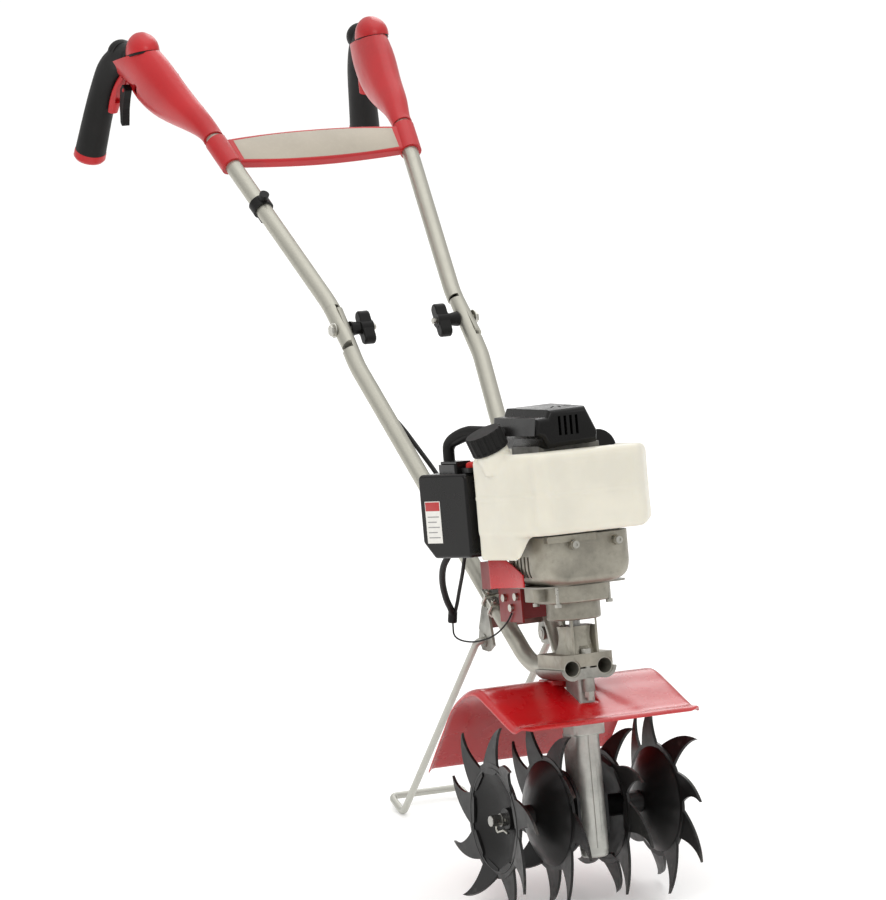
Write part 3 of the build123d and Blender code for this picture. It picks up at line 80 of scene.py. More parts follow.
# ------------------------------------------------------------------ materials
class NT:
    def __init__(self, name):
        self.m = bpy.data.materials.new(name)
        self.m.use_nodes = True
        self.t = self.m.node_tree
        self.t.nodes.clear()
        self.out = self.n("ShaderNodeOutputMaterial")
        self.b = self.n("ShaderNodeBsdfPrincipled")
        self.t.links.new(self.b.outputs[0], self.out.inputs[0])
        self.tc = self.n("ShaderNodeTexCoord")
        self.co = self.tc.outputs["Object"]

    def n(self, kind, **kw):
        q = self.t.nodes.new(kind)
        for k, v in kw.items():
            setattr(q, k, v)
        return q

    def l(self, a, b):
        self.t.links.new(a, b)

    def scaled(self, v):
        q = self.n("ShaderNodeMapping")
        q.inputs["Scale"].default_value = v
        self.l(self.co, q.inputs[0])
        return q.outputs[0]

    def noise(self, scale, detail=4.0, rough=0.55, vec=None, dist=0.0):
        q = self.n("ShaderNodeTexNoise")
        q.inputs["Scale"].default_value = scale
        q.inputs["Detail"].default_value = detail
        q.inputs["Roughness"].default_value = rough
        q.inputs["Distortion"].default_value = dist
        self.l(vec or self.co, q.inputs["Vector"])
        return q.outputs[0]

    def voro(self, scale, vec=None, feature="F1"):
        q = self.n("ShaderNodeTexVoronoi", feature=feature)
        q.inputs["Scale"].default_value = scale
        self.l(vec or self.co, q.inputs["Vector"])
        return q.outputs[0]

    def ramp(self, fac, stops):
        q = self.n("ShaderNodeValToRGB")
        e = q.color_ramp.elements
        while len(e) < len(stops):
            e.new(0.5)
        for k, (p, c) in enumerate(stops):
            e[k].position = p
            e[k].color = (c, c, c, 1) if isinstance(c, (int, float)) else (*c, 1)
        self.l(fac, q.inputs[0])
        return q.outputs[0]

    def mix(self, fac, a, b):
        q = self.n("ShaderNodeMix", data_type="RGBA")
        for sock, v in ((q.inputs[0], fac), (q.inputs[6], a), (q.inputs[7], b)):
            if hasattr(v, "is_output"):
                self.l(v, sock)
            elif isinstance(v, (int, float)):
                sock.default_value = v if sock == q.inputs[0] else (v, v, v, 1)
            else:
                sock.default_value = (*v, 1)
        return q.outputs[2]

    def math(self, op, a, b=None):
        q = self.n("ShaderNodeMath", operation=op)
        for i, v in enumerate((a, b)):
            if v is None:
                continue
            if hasattr(v, "is_output"):
                self.l(v, q.inputs[i])
            else:
                q.inputs[i].default_value = v
        return q.outputs[0]

    def maprange(self, v, a, b, c, d):
        q = self.n("ShaderNodeMapRange")
        self.l(v, q.inputs[0])
        for i, w in enumerate((a, b, c, d)):
            q.inputs[1 + i].default_value = w
        return q.outputs[0]

    def bump(self, height, dist, strength=1.0, prev=None):
        q = self.n("ShaderNodeBump")
        q.inputs["Strength"].default_value = strength
        q.inputs["Distance"].default_value = dist
        self.l(height, q.inputs["Height"])
        if prev is not None:
            self.l(prev, q.inputs["Normal"])
        return q.outputs[0]

    def set(self, **kw):
        for k, v in kw.items():
            k = k.replace("_", " ")
            s = self.b.inputs[k]
            if hasattr(v, "is_output"):
                self.l(v, s)
            elif isinstance(v, tuple) and len(v) == 3 and s.type == "RGBA":
                s.default_value = (*v, 1)
            else:
                s.default_value = v


def lin(r, g, b):
    f = lambda c: c / 255.0 / 12.92 if c <= 10.3 else ((c / 255.0 + 0.055) / 1.055) ** 2.4
    return (f(r), f(g), f(b))


def k3(c, k):
    return tuple(min(1.0, v * k) for v in c)


def painted(name, col, rough=0.3, coat=0.5, peel=0.00006, var=0.10, dust=0.0, metal=0.0):
    t = NT(name)
    big = t.noise(9.0, 3.0)
    fine = t.noise(160.0, 2.0)
    c = t.mix(t.ramp(big, [(0.35, 0.0), (0.68, 1.0)]), k3(col, 1 - var), k3(col, 1 + var))
    c = t.mix(t.math("MULTIPLY", t.ramp(fine, [(0.5, 0.0), (0.75, 1.0)]), 0.25), c, k3(col, 1.18))
    r = t.maprange(t.noise(30.0, 5.0), 0.3, 0.75, rough - 0.05, rough + 0.08)
    if dust:
        d = t.math("MULTIPLY", t.ramp(t.noise(14.0, 7.0, 0.7), [(0.5, 0.0), (0.78, 1.0)]), dust)
        c = t.mix(d, c, (0.20, 0.15, 0.11))
    nrm = t.bump(t.noise(420.0, 2.0), peel)
    t.set(Base_Color=c, Roughness=r, Metallic=metal, Normal=nrm)
    t.b.inputs["Coat Weight"].default_value = coat
    t.b.inputs["Coat Roughness"].default_value = 0.12
    return t.m


def plastic(name, col, rough=0.42, grain=0.00007, gscale=900.0, var=0.18, spec=0.5):
    t = NT(name)
    c = t.mix(t.ramp(t.noise(16.0, 4.0), [(0.3, 0.0), (0.7, 1.0)]), k3(col, 1 - var), k3(col, 1 + var))
    scuff = t.ramp(t.noise(60.0, 8.0, 0.7, t.scaled((1.0, 5.0, 1.0))), [(0.58, 0.0), (0.74, 1.0)])
    c = t.mix(t.math("MULTIPLY", scuff, 0.12), c, k3(col, 2.4))
    r = t.maprange(t.noise(25.0, 6.0), 0.3, 0.7, rough - 0.06, rough + 0.10)
    n1 = t.bump(t.voro(gscale), grain, 0.6)
    n2 = t.bump(t.noise(5.0, 2.0), 0.0006, 0.25, n1)
    t.set(Base_Color=c, Roughness=r, Normal=n2)
    t.b.inputs["Specular IOR Level"].default_value = spec
    return t.m


def rubber(name, col=(0.012, 0.012, 0.012), rough=0.62, ribs=None):
    t = NT(name)
    c = t.mix(t.noise(22.0, 5.0), k3(col, 0.75), k3(col, 1.5))
    dust = t.ramp(t.noise(80.0, 8.0, 0.75), [(0.55, 0.0), (0.8, 1.0)])
    c = t.mix(t.math("MULTIPLY", dust, 0.16), c, (0.045, 0.043, 0.040))
    nrm = t.bump(t.voro(620.0), 0.00012, 0.8)
    if ribs:
        w = t.n("ShaderNodeTexWave", wave_type="BANDS", bands_direction=ribs[0])
        w.inputs["Scale"].default_value = ribs[1]
        w.inputs["Distortion"].default_value = 0.0
        t.l(t.co, w.inputs["Vector"])
        nrm = t.bump(w.outputs[1], 0.0008, 0.7, nrm)
    t.set(Base_Color=c, Roughness=t.maprange(t.noise(40.0), 0.3, 0.7, rough - 0.06, rough + 0.1), Normal=nrm)
    t.b.inputs["Specular IOR Level"].default_value = 0.22
    return t.m


def cast(name, col, rough=0.48, metal=0.8, grain=0.00018, dark=0.45):
    t = NT(name)
    big = t.ramp(t.noise(24.0, 6.0, 0.6), [(0.32, 0.0), (0.66, 1.0)])
    c = t.mix(big, k3(col, 0.72), k3(col, 1.16))
    soot = t.ramp(t.noise(70.0, 9.0, 0.72), [(0.52, 0.0), (0.78, 1.0)])
    c = t.mix(t.math("MULTIPLY", soot, dark), c, k3(col, 0.3))
    n1 = t.bump(t.noise(700.0, 3.0, 0.6), grain, 0.9)
    n2 = t.bump(t.voro(260.0), grain * 0.7, 0.5, n1)
    t.set(Base_Color=c, Roughness=t.maprange(t.noise(90.0, 4.0), 0.3, 0.7, rough - 0.08, rough + 0.14), Metallic=metal, Normal=n2)
    return t.m


def satin(name, col, rough=0.34, metal=0.85, stretch=(60.0, 4.0, 4.0), var=0.08):
    t = NT(name)
    fl = t.noise(1800.0, 1.0)
    c = t.mix(t.ramp(fl, [(0.42, 0.0), (0.62, 1.0)]), k3(col, 1 - var), k3(col, 1 + var))
    sm = t.ramp(t.noise(12.0, 6.0, 0.65), [(0.4, 0.0), (0.75, 1.0)])
    c = t.mix(t.math("MULTIPLY", sm, 0.25), c, k3(col, 0.78))
    sc = t.noise(35.0, 7.0, 0.7, t.scaled(stretch))
    r = t.maprange(sc, 0.3, 0.7, rough - 0.05, rough + 0.10)
    t.set(Base_Color=c, Roughness=r, Metallic=metal, Normal=t.bump(sc, 0.00003, 0.5))
    return t.m


def worn_tine(name):
    t = NT(name)
    s = t.n("ShaderNodeSeparateXYZ")
    t.l(t.co, s.inputs[0])
    ax = R((0, AXLE_Y, 0))
    dy = t.math("SUBTRACT", s.outputs[1], ax.y)
    dz = t.math("SUBTRACT", s.outputs[2], ax.z)
    rad = t.math("SQRT", t.math("ADD", t.math("MULTIPLY", dy, dy), t.math("MULTIPLY", dz, dz)))
    tip = t.maprange(rad, 0.070, 0.120, 0.0, 1.0)
    nz = t.noise(95.0, 8.0, 0.7)
    wear = t.ramp(t.math("ADD", t.math("MULTIPLY", tip, 0.30), nz), [(0.70, 0.0), (0.86, 1.0)])
    base = t.mix(t.noise(30.0, 5.0), (0.007, 0.007, 0.0072), (0.020, 0.0195, 0.019))
    c = t.mix(t.math("MULTIPLY", wear, 0.40), base, (0.11, 0.10, 0.09))
    n = t.bump(t.noise(500.0, 3.0), 0.00009, 0.8)
    n = t.bump(wear, 0.00008, 0.4, n)
    t.set(Base_Color=c, Roughness=t.maprange(t.noise(60.0, 5.0), 0.3, 0.7, 0.30, 0.48), Metallic=0.35, Normal=n)
    t.b.inputs["Coat Weight"].default_value = 0.12
    t.b.inputs["Coat Roughness"].default_value = 0.25
    t.b.inputs["Specular IOR Level"].default_value = 0.30
    return t.m


def tank_mat(name):
    t = NT(name)
    s = t.n("ShaderNodeSeparateXYZ")
    t.l(t.co, s.inputs[0])
    col = lin(221, 217, 203)
    z = t.math("ADD", s.outputs[2], t.math("MULTIPLY", t.noise(7.0, 3.0), 0.03))
    low = t.maprange(z, 0.44, 0.56, 0.86, 1.04)
    c = t.mix(t.ramp(t.noise(14.0, 4.0), [(0.35, 0.0), (0.7, 1.0)]), k3(col, 0.93), k3(col, 1.03))
    c = t.mix(t.maprange(z, 0.43, 0.50, 0.35, 0.0), c, lin(196, 191, 172))
    n1 = t.bump(t.noise(900.0, 2.0), 0.00005, 0.6)
    n2 = t.bump(t.noise(24.0, 3.0), 0.0008, 0.22, n1)
    t.set(Base_Color=c, Roughness=t.maprange(t.noise(30.0, 4.0), 0.3, 0.7, 0.34, 0.48), Normal=n2)
    t.b.inputs["Subsurface Weight"].default_value = 0.30
    t.b.inputs["Subsurface Radius"].default_value = (0.012, 0.010, 0.007)
    t.b.inputs["Subsurface Scale"].default_value = 1.0
    return t.m


RED = lin(176, 12, 20)
M = {}
M["red_plastic"] = painted("red_plastic", RED, 0.36, 0.10, 0.00005, 0.10)
M["red_paint"] = painted("red_paint", lin(182, 10, 18), 0.26, 0.30, 0.00008, 0.10)
M["silver"] = satin("silver_tube", lin(176, 174, 163), 0.36, 0.75, (3.0, 3.0, 3.0))
M["leg"] = cast("leg_alloy", lin(190, 190, 184), 0.42, 0.7, 0.00012, 0.20)
M["cast"] = cast("cast_alloy", lin(158, 154, 142), 0.44, 0.8)
M["cast_dark"] = cast("cast_dark", lin(118, 117, 112), 0.50, 0.8)
M["clamp"] = cast("clamp_alloy", lin(160, 159, 152), 0.40, 0.85, 0.00012, 0.5)
M["black"] = plastic("black_plastic", (0.0065, 0.0062, 0.0060), 0.38, spec=0.20)
M["black_gloss"] = plastic("black_gloss", (0.0060, 0.0057, 0.0055), 0.24, 0.00004, 1200.0, 0.15, 0.24)
M["black_matte"] = plastic("black_matte", (0.0085, 0.0082, 0.0078), 0.50, 0.00012, 700.0, spec=0.18)
M["rubber"] = rubber("black_rubber", (0.0075, 0.0072, 0.0070))
M["grip"] = rubber("grip_rubber", (0.0075, 0.0072, 0.0070), 0.50)
M["wire"] = rubber("wire_rubber", (0.0065, 0.0062, 0.006), 0.42)
M["tine"] = worn_tine("tine_steel")
M["case"] = cast("black_case", (0.020, 0.020, 0.021), 0.42, 0.3, 0.00014, 0.4)
M["zinc"] = satin("zinc_plate", lin(188, 186, 178), 0.28, 1.0, (2.0, 2.0, 2.0), 0.12)
M["steel"] = satin("bare_steel", lin(165, 164, 160), 0.30, 1.0, (2.0, 2.0, 2.0), 0.14)
M["brass"] = satin("bronze_gear", lin(186, 150, 92), 0.32, 1.0, (2.0, 2.0, 2.0), 0.12)
M["stand"] = satin("stand_rod", lin(186, 186, 178), 0.40, 0.6, (2.0, 2.0, 2.0))
M["tank"] = tank_mat("tank_hdpe")
M["panel"] = painted("panel_grey", lin(170, 161, 146), 0.42, 0.1, 0.00010, 0.07)
M["muffler"] = cast("muffler_steel", lin(120, 112, 102), 0.45, 0.9, 0.00010, 0.5)
M["foam"] = rubber("filter_foam", (0.03, 0.03, 0.03), 0.9)
M["ceramic"] = painted("plug_ceramic", lin(225, 222, 214), 0.25, 0.3, 0.00003, 0.04)
M["red_rubber"] = rubber("red_rubber", lin(168, 24, 20), 0.35)
M["rope"] = rubber("rope_braid", (0.30, 0.29, 0.26), 0.8, ("Y", 260.0))
M["label"] = painted("label_stock", lin(226, 224, 218), 0.45, 0.1, 0.00002, 0.03)
M["label_red"] = painted("label_red", lin(176, 40, 40), 0.45, 0.1, 0.00002, 0.05)
M["label_grey"] = painted("label_grey", lin(150, 150, 148), 0.5, 0.05, 0.00002, 0.06)



def bracket_mat():
    """Red sheet metal, its red darkened and browned as painted shade; the top plate under the fan case shows as bare
    grey metal.
    """
    t = NT("bracket_red_painted_shade")
    q = t.n("ShaderNodeSeparateXYZ")
    t.l(t.co, q.inputs[0])
    zz = t.math("ADD", t.math("MULTIPLY", t.math("SUBTRACT", q.outputs[2], ROW_Z / 1000.0), CL), t.math("MULTIPLY", t.math("SUBTRACT", q.outputs[1], ROW_Y / 1000.0), SL))
    top = t.maprange(zz, 0.2812, 0.2816, 0.0, 1.0)
    rt = t.maprange(q.outputs[0], -0.062, -0.060, 0.0, 1.0)
    f = t.math("MULTIPLY", top, rt)
    big = t.ramp(t.noise(12.0, 5.0), [(0.35, 0.0), (0.7, 1.0)])
    # painted shade: this red is darker than the other red parts and its blotches are brown, standing in for the shade
    # that falls on the bracket
    red = t.mix(big, lin(118, 14, 14), lin(154, 15, 18))
    red = t.mix(t.math("MULTIPLY", t.ramp(t.noise(90.0, 7.0, 0.7), [(0.55, 0.0), (0.75, 1.0)]), 0.35), red, lin(86, 27, 21))
    grey = t.mix(t.noise(60.0, 6.0), lin(120, 117, 108), lin(160, 156, 146))
    t.set(Base_Color=t.mix(f, red, grey), Roughness=t.maprange(t.noise(40.0, 4.0), 0.3, 0.7, 0.28, 0.42), Normal=t.bump(t.noise(420.0, 2.0), 0.00008))
    return t.m


M["bracket"] = bracket_mat()

ASSIGN = {
    "gear_housing": "leg", "gear_side_covers": "case", "bearings": "steel", "worm_shaft": "steel", "clutch_drum": "steel", "tine_axle": "steel",
    "worm_wheel": "brass", "tine_outer_left": "tine", "tine_inner_left": "tine", "tine_inner_right": "tine", "tine_outer_right": "tine",
    "hitch_pins": "zinc", "neck_housing": "cast", "lower_clamp": "clamp", "lower_handle_left": "silver", "lower_handle_right": "silver",
    "upper_handle_left": "silver", "upper_handle_right": "silver", "fold_knob_left": "black", "fold_knob_right": "black", "fender": "red_paint",
    "fan_case": "cast", "crankcase": "cast_dark", "cylinder": "cast_dark", "rocker_cover": "black_matte", "piston": "steel",
    "connecting_rod": "steel", "crankshaft": "steel", "flywheel": "cast_dark", "clutch_shoes": "steel", "engine_bracket": "bracket",
    "fuel_tank": "tank", "fuel_cap": "black_matte", "carburetor": "cast", "air_cleaner_cover": "black_gloss", "air_filter": "foam",
    "primer_bulb": "red_rubber", "air_cleaner_base": "black", "choke_lever": "black", "muffler": "muffler", "muffler_shield": "black_matte",
    "spark_plug": "ceramic", "wiring": "wire", "recoil_case": "black", "starter_grip": "rubber", "starter_rope": "rope", "fuel_hoses": "wire",
    "throttle_cable": "wire", "kickstand": "stand", "kickstand_bracket": "clamp", "kickstand_ubolts": "zinc", "handle_head_left": "red_plastic",
    "handle_head_right": "red_plastic", "throttle_trigger": "black", "rubber_grips": "grip", "cross_brace": "red_plastic", "brace_panel": "panel",
    "cable_clip": "black", "stop_switch": "red_plastic", "frame_bolts": "zinc",
}
for n, o in NODES.items():
    o.data.materials.clear()
    o.data.materials.append(M[ASSIGN[n]])

# ------------------------------------------------------------------ mesh helpers
def new_mesh(name, verts, faces, mat, body, smooth=True, node=None):
    me = bpy.data.meshes.new(name)
    me.from_pydata([tuple(v) for v in verts], [], [tuple(f) for f in faces])
    me.validate()
    me.update()
    if smooth:
        me.polygons.foreach_set("use_smooth", [True] * len(me.polygons))
    o = bpy.data.objects.new(name, me)
    COL.objects.link(o)
    me.materials.append(mat)
    if node:
        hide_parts(*(node if isinstance(node, (list, tuple)) else [node]))
    if body:
        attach(o, body)
    return o


def recalc(o):
    bm = bmesh.new()
    bm.from_mesh(o.data)
    bmesh.ops.recalc_face_normals(bm, faces=bm.faces)
    bm.to_mesh(o.data)
    bm.free()


def catmull(pts, per=10):
    """Centripetal curve through the points."""
    P = [np.array(p, float) for p in pts]
    P = [2 * P[0] - P[1]] + P + [2 * P[-1] - P[-2]]
    out = []
    for i in range(1, len(P) - 2):
        p0, p1, p2, p3 = P[i - 1:i + 3]
        t0 = 0.0
        t1 = t0 + np.linalg.norm(p1 - p0) ** 0.5
        t2 = t1 + np.linalg.norm(p2 - p1) ** 0.5
        t3 = t2 + np.linalg.norm(p3 - p2) ** 0.5
        for k in range(per):
            t = t1 + (t2 - t1) * k / per
            a1 = (t1 - t) / (t1 - t0) * p0 + (t - t0) / (t1 - t0) * p1
            a2 = (t2 - t) / (t2 - t1) * p1 + (t - t1) / (t2 - t1) * p2
            a3 = (t3 - t) / (t3 - t2) * p2 + (t - t2) / (t3 - t2) * p3
            b1 = (t2 - t) / (t2 - t0) * a1 + (t - t0) / (t2 - t0) * a2
            b2 = (t3 - t) / (t3 - t1) * a2 + (t - t1) / (t3 - t1) * a3
            out.append((t2 - t) / (t2 - t1) * b1 + (t - t1) / (t2 - t1) * b2)
    out.append(P[-2])
    return out


def nurbs_line(pts, order=3, res=12):
    """Points read from a smooth spline with these control points (in m)."""
    cu = bpy.data.curves.new("route", "CURVE")
    cu.dimensions = "3D"
    cu.resolution_u = res
    sp = cu.splines.new("NURBS")
    sp.points.add(len(pts) - 1)
    for q, p in zip(sp.points, pts):
        q.co = (*p, 1.0)
    sp.order_u = order
    sp.use_endpoint_u = True
    ob = bpy.data.objects.new("route", cu)
    COL.objects.link(ob)
    me = bpy.data.meshes.new_from_object(ob)
    out = [np.array(v.co) for v in me.vertices]
    bpy.data.objects.remove(ob)
    bpy.data.curves.remove(cu)
    bpy.data.meshes.remove(me)
    return out


def sweep(path, section, closed_ends=True):
    """Vertices and faces of a closed section carried along a path with little twist."""
    path = [Vector(p) for p in path]
    n = len(path)
    tans = []
    for i in range(n):
        a = path[max(0, i - 1)]
        b = path[min(n - 1, i + 1)]
        tans.append((b - a).normalized())
    up = Vector((0, 0, 1)) if abs(tans[0].z) < 0.9 else Vector((1, 0, 0))
    nrm = (up - tans[0] * up.dot(tans[0])).normalized()
    verts, rings = [], []
    for i in range(n):
        if i:
            nrm = (nrm - tans[i] * nrm.dot(tans[i])).normalized()
        bi = tans[i].cross(nrm)
        sec = section(i / (n - 1), i)
        rings.append(list(range(len(verts), len(verts) + len(sec))))
        for (u, v) in sec:
            verts.append(path[i] + nrm * u + bi * v)
    faces = []
    m = len(rings[0])
    for i in range(n - 1):
        for j in range(m):
            faces.append((rings[i][j], rings[i][(j + 1) % m], rings[i + 1][(j + 1) % m], rings[i + 1][j]))
    if closed_ends:
        faces.append(tuple(reversed(rings[0])))
        faces.append(tuple(rings[-1]))
    return verts, faces


def circle(r, m=20):
    return [(r * math.cos(2 * math.pi * k / m), r * math.sin(2 * math.pi * k / m)) for k in range(m)]


def tube(name, path, r, mat, body, node=None, m=20):
    v, f = sweep(path, lambda t, i: circle(r if not callable(r) else r(t), m))
    o = new_mesh(name, v, f, mat, body, node=node)
    recalc(o)
    return o


# ------------------------------------------------------------------ tine guard: a moulded sheet with a folded rim
def build_fender():
    prof = [(200.5, 59.4), (150, 108), (102.5, 148.0), (43.5, 163.5), (3.6, 149.5), (-44.3, 127.9), (-62, 121.5), (-84, 121.5)]
    line = catmull(prof, 12)
    # add the hole's edges as exact rows
    ys = [p[0] for p in line] + [23.0, -22.0, 22.0, -21.0]
    P = sorted(line, key=lambda p: -p[0])
    py = np.array([p[0] for p in P])[::-1]
    pz = np.array([p[1] for p in P])[::-1]
    rows = sorted(set(round(y, 3) for y in ys), reverse=True)
    H = 125.0
    xs = [-125, -124.4, -123, -120, -116, -108, -96, -84, -72, -60, -50, -42, -36, -30, -26, -22, -18, -15, -12.5, -10, -6, -2, 2, 6, 10, 12.5, 15, 18, 22, 26, 30, 36, 42, 50, 60, 72, 84, 96, 108, 116, 120, 123, 124.4, 125]

    def top(x, y):
        z = float(np.interp(y, py, pz))
        ax = abs(x)
        if ax > 117:                      # rolled side rims
            t = (ax - 117) / 8.0
            z -= 5.5 * t ** 2.2
        f = max(0.0, (-y - 74.0) / 10.0)  # rolled front lip
        z -= 4.5 * min(1.0, f) ** 2.0
        # shallow tapered recess around the post and two stiffening flutes
        w = 16 + max(0.0, (30 - y)) * 0.42
        e = 1.0 / (1.0 + math.exp((ax - w) / 1.6))
        g = 1.0 / (1.0 + math.exp((y - 62) / 3.0)) * 1.0 / (1.0 + math.exp((-y - 64) / 3.0))
        z -= 1.8 * e * g
        z -= 0.9 * math.exp(-((ax - 104) / 3.0) ** 2)
        return z

    def corner(x, y):
        """Rounds the two front corners."""
        r = 18.0
        cx, cy = H - r, -84.0 + r
        if abs(x) > cx and y < cy:
            dx, dy = abs(x) - cx, cy - y
            m = max(dx, dy)
            d = math.hypot(dx, dy)
            if d > 1e-6:
                k = m / d
                return math.copysign(cx + dx * k, x), cy - dy * k
        return x, y

    nx, ny = len(xs), len(rows)
    T = 2.4
    up, dn = [], []
    for y in rows:
        for x in xs:
            X, Y = corner(x, y)
            z = top(X, Y)
            zy = (top(X, Y + 0.5) - top(X, Y - 0.5)) if rows[-1] + 0.6 < Y < rows[0] - 0.6 else (top(X, max(rows[-1] + 0.1, min(rows[0] - 1.1, Y)) + 1.0) - top(X, max(rows[-1] + 0.1, min(rows[0] - 1.1, Y))))
            n = np.array([0.0, -zy, 1.0])
            n /= np.linalg.norm(n)
            up.append((X, Y, z))
            dn.append((X, Y - n[1] * T, z - n[2] * T))
    verts = [R(p) for p in up + dn]
    N = nx * ny
    keep = {}
    for j in range(ny - 1):
        yc = (rows[j] + rows[j + 1]) / 2
        for i in range(nx - 1):
            xc = (xs[i] + xs[i + 1]) / 2
            keep[(i, j)] = not (abs(xc) < 12.5 and -22.0 < yc < 23.0)
    faces = []

    def v(i, j, o=0):
        return j * nx + i + o

    for (i, j), k in keep.items():
        if not k:
            continue
        faces.append((v(i, j), v(i, j + 1), v(i + 1, j + 1), v(i + 1, j)))
        faces.append((v(i, j, N), v(i + 1, j, N), v(i + 1, j + 1, N), v(i, j + 1, N)))
        for (di, dj, a, b) in ((-1, 0, (i, j), (i, j + 1)), (1, 0, (i + 1, j), (i + 1, j + 1)), (0, -1, (i, j), (i + 1, j)), (0, 1, (i, j + 1), (i + 1, j + 1))):
            if not keep.get((i + di, j + dj), False):
                faces.append((v(*a), v(*b), v(*b, N), v(*a, N)))
    o = new_mesh("tine_guard_shell", verts, faces, M["red_paint"], None)
    recalc(o)
    md = o.modifiers.new("b", "BEVEL")
    md.width = 0.0007
    md.segments = 2
    md.angle_limit = math.radians(50)
    apply(o)
    return o


def apply(o):
    dg = bpy.context.evaluated_depsgraph_get()
    me = bpy.data.meshes.new_from_object(o.evaluated_get(dg))
    old = o.data
    o.modifiers.clear()
    o.data = me
    bpy.data.meshes.remove(old)
    me.polygons.foreach_set("use_smooth", [True] * len(me.polygons))
    return o


def auto_smooth(o, deg=35):
    """Marks edges sharper than deg so that the shading breaks there."""
    bm = bmesh.new()
    bm.from_mesh(o.data)
    lim = math.radians(deg)
    for e in bm.edges:
        e.smooth = not (len(e.link_faces) == 2 and e.calc_face_angle(0.0) > lim)
    for f in bm.faces:
        f.smooth = True
    bm.to_mesh(o.data)
    bm.free()


fen = build_fender()
auto_smooth(fen, 40)
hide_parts("fender")
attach(fen, "frame")


def rounded_box(name, x0, x1, y0, y1, z0, z1, r, mat, body, seg=3, xf=R):
    bm = bmesh.new()
    bmesh.ops.create_cube(bm, size=1.0)
    for v in bm.verts:
        v.co = ((x0 + x1) / 2 + v.co.x * (x1 - x0), (y0 + y1) / 2 + v.co.y * (y1 - y0), (z0 + z1) / 2 + v.co.z * (z1 - z0))
    bmesh.ops.bevel(bm, geom=list(bm.edges), offset=r, segments=seg, profile=0.6, affect="EDGES")
    me = bpy.data.meshes.new(name)
    for v in bm.verts:
        v.co = xf(v.co)
    bm.to_mesh(me)
    bm.free()
    me.polygons.foreach_set("use_smooth", [True] * len(me.polygons))
    o = bpy.data.objects.new(name, me)
    COL.objects.link(o)
    me.materials.append(mat)
    if body:
        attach(o, body)
    return o


# seat pad of the guard under the clamp
rounded_box("guard_seat_pad", -26, 26, 23.5, 64, 156.5, 164.4, 1.6, M["red_paint"], "frame")


# ------------------------------------------------------------------ fuel tank: one blow-moulded skin
def prism(pts, z0, z1, rv, rt, rb):
    bm = bmesh.new()
    lo = [bm.verts.new((x, y, z0)) for x, y in pts]
    hi = [bm.verts.new((x, y, z1)) for x, y in pts]
    n = len(pts)
    bm.faces.new(lo[::-1])
    bm.faces.new(hi)
    for i in range(n):
        bm.faces.new((lo[i], lo[(i + 1) % n], hi[(i + 1) % n], hi[i]))
    bmesh.ops.recalc_face_normals(bm, faces=bm.faces)
    vert = [e for e in bm.edges if abs(e.verts[0].co.z - e.verts[1].co.z) > 1]
    bmesh.ops.bevel(bm, geom=vert, offset=rv, segments=6, profile=0.5, affect="EDGES", clamp_overlap=True)
    for (zz, rr) in ((z1, rt), (z0, rb)):
        ed = [e for e in bm.edges if abs(e.verts[0].co.z - zz) < 1e-3 and abs(e.verts[1].co.z - zz) < 1e-3 and len([f for f in e.link_faces if abs(f.normal.z) < 0.5]) == 1]
        bmesh.ops.bevel(bm, geom=ed, offset=rr, segments=5, profile=0.5, affect="EDGES", clamp_overlap=True)
    me = bpy.data.meshes.new("prism")
    bm.to_mesh(me)
    bm.free()
    return me


def lathe_mesh(prof, origin, axis, m=64):
    ax = Vector(axis).normalized()
    a = ax.orthogonal().normalized()
    b = ax.cross(a)
    verts, faces = [], []
    for (r, h) in prof:
        for k in range(m):
            t = 2 * math.pi * k / m
            verts.append(Vector(origin) + ax * h + (a * math.cos(t) + b * math.sin(t)) * r)
    n = len(prof)
    for i in range(n - 1):
        for k in range(m):
            faces.append((i * m + k, i * m + (k + 1) % m, (i + 1) * m + (k + 1) % m, (i + 1) * m + k))
    if prof[0][0] > 1e-6:
        faces.append(tuple(reversed(range(m))))
    if prof[-1][0] > 1e-6:
        faces.append(tuple(range((n - 1) * m, n * m)))
    me = bpy.data.meshes.new("lathe")
    me.from_pydata([tuple(v) for v in verts], [], faces)
    me.update()
    return me


def join_remesh(meshes, voxel, smooth_it=6):
    """Union of closed meshes in mm as one skin, remeshed and relaxed."""
    bm = bmesh.new()
    for me in meshes:
        t = bmesh.new()
        t.from_mesh(me)
        bmesh.ops.recalc_face_normals(t, faces=t.faces)
        tmp = bpy.data.meshes.new("t")
        t.to_mesh(tmp)
        t.free()
        bm.from_mesh(tmp)
    me = bpy.data.meshes.new("join")
    bm.to_mesh(me)
    bm.free()
    o = bpy.data.objects.new("join", me)
    COL.objects.link(o)
    rm = o.modifiers.new("r", "REMESH")
    rm.mode = "VOXEL"
    rm.voxel_size = voxel
    sm = o.modifiers.new("s", "SMOOTH")
    sm.iterations = smooth_it
    sm.factor = 0.5
    apply(o)
    return o


CAPD = Vector((-0.40, -0.05, 0.915)).normalized()
CAPO = Vector((-99, -26, 444))


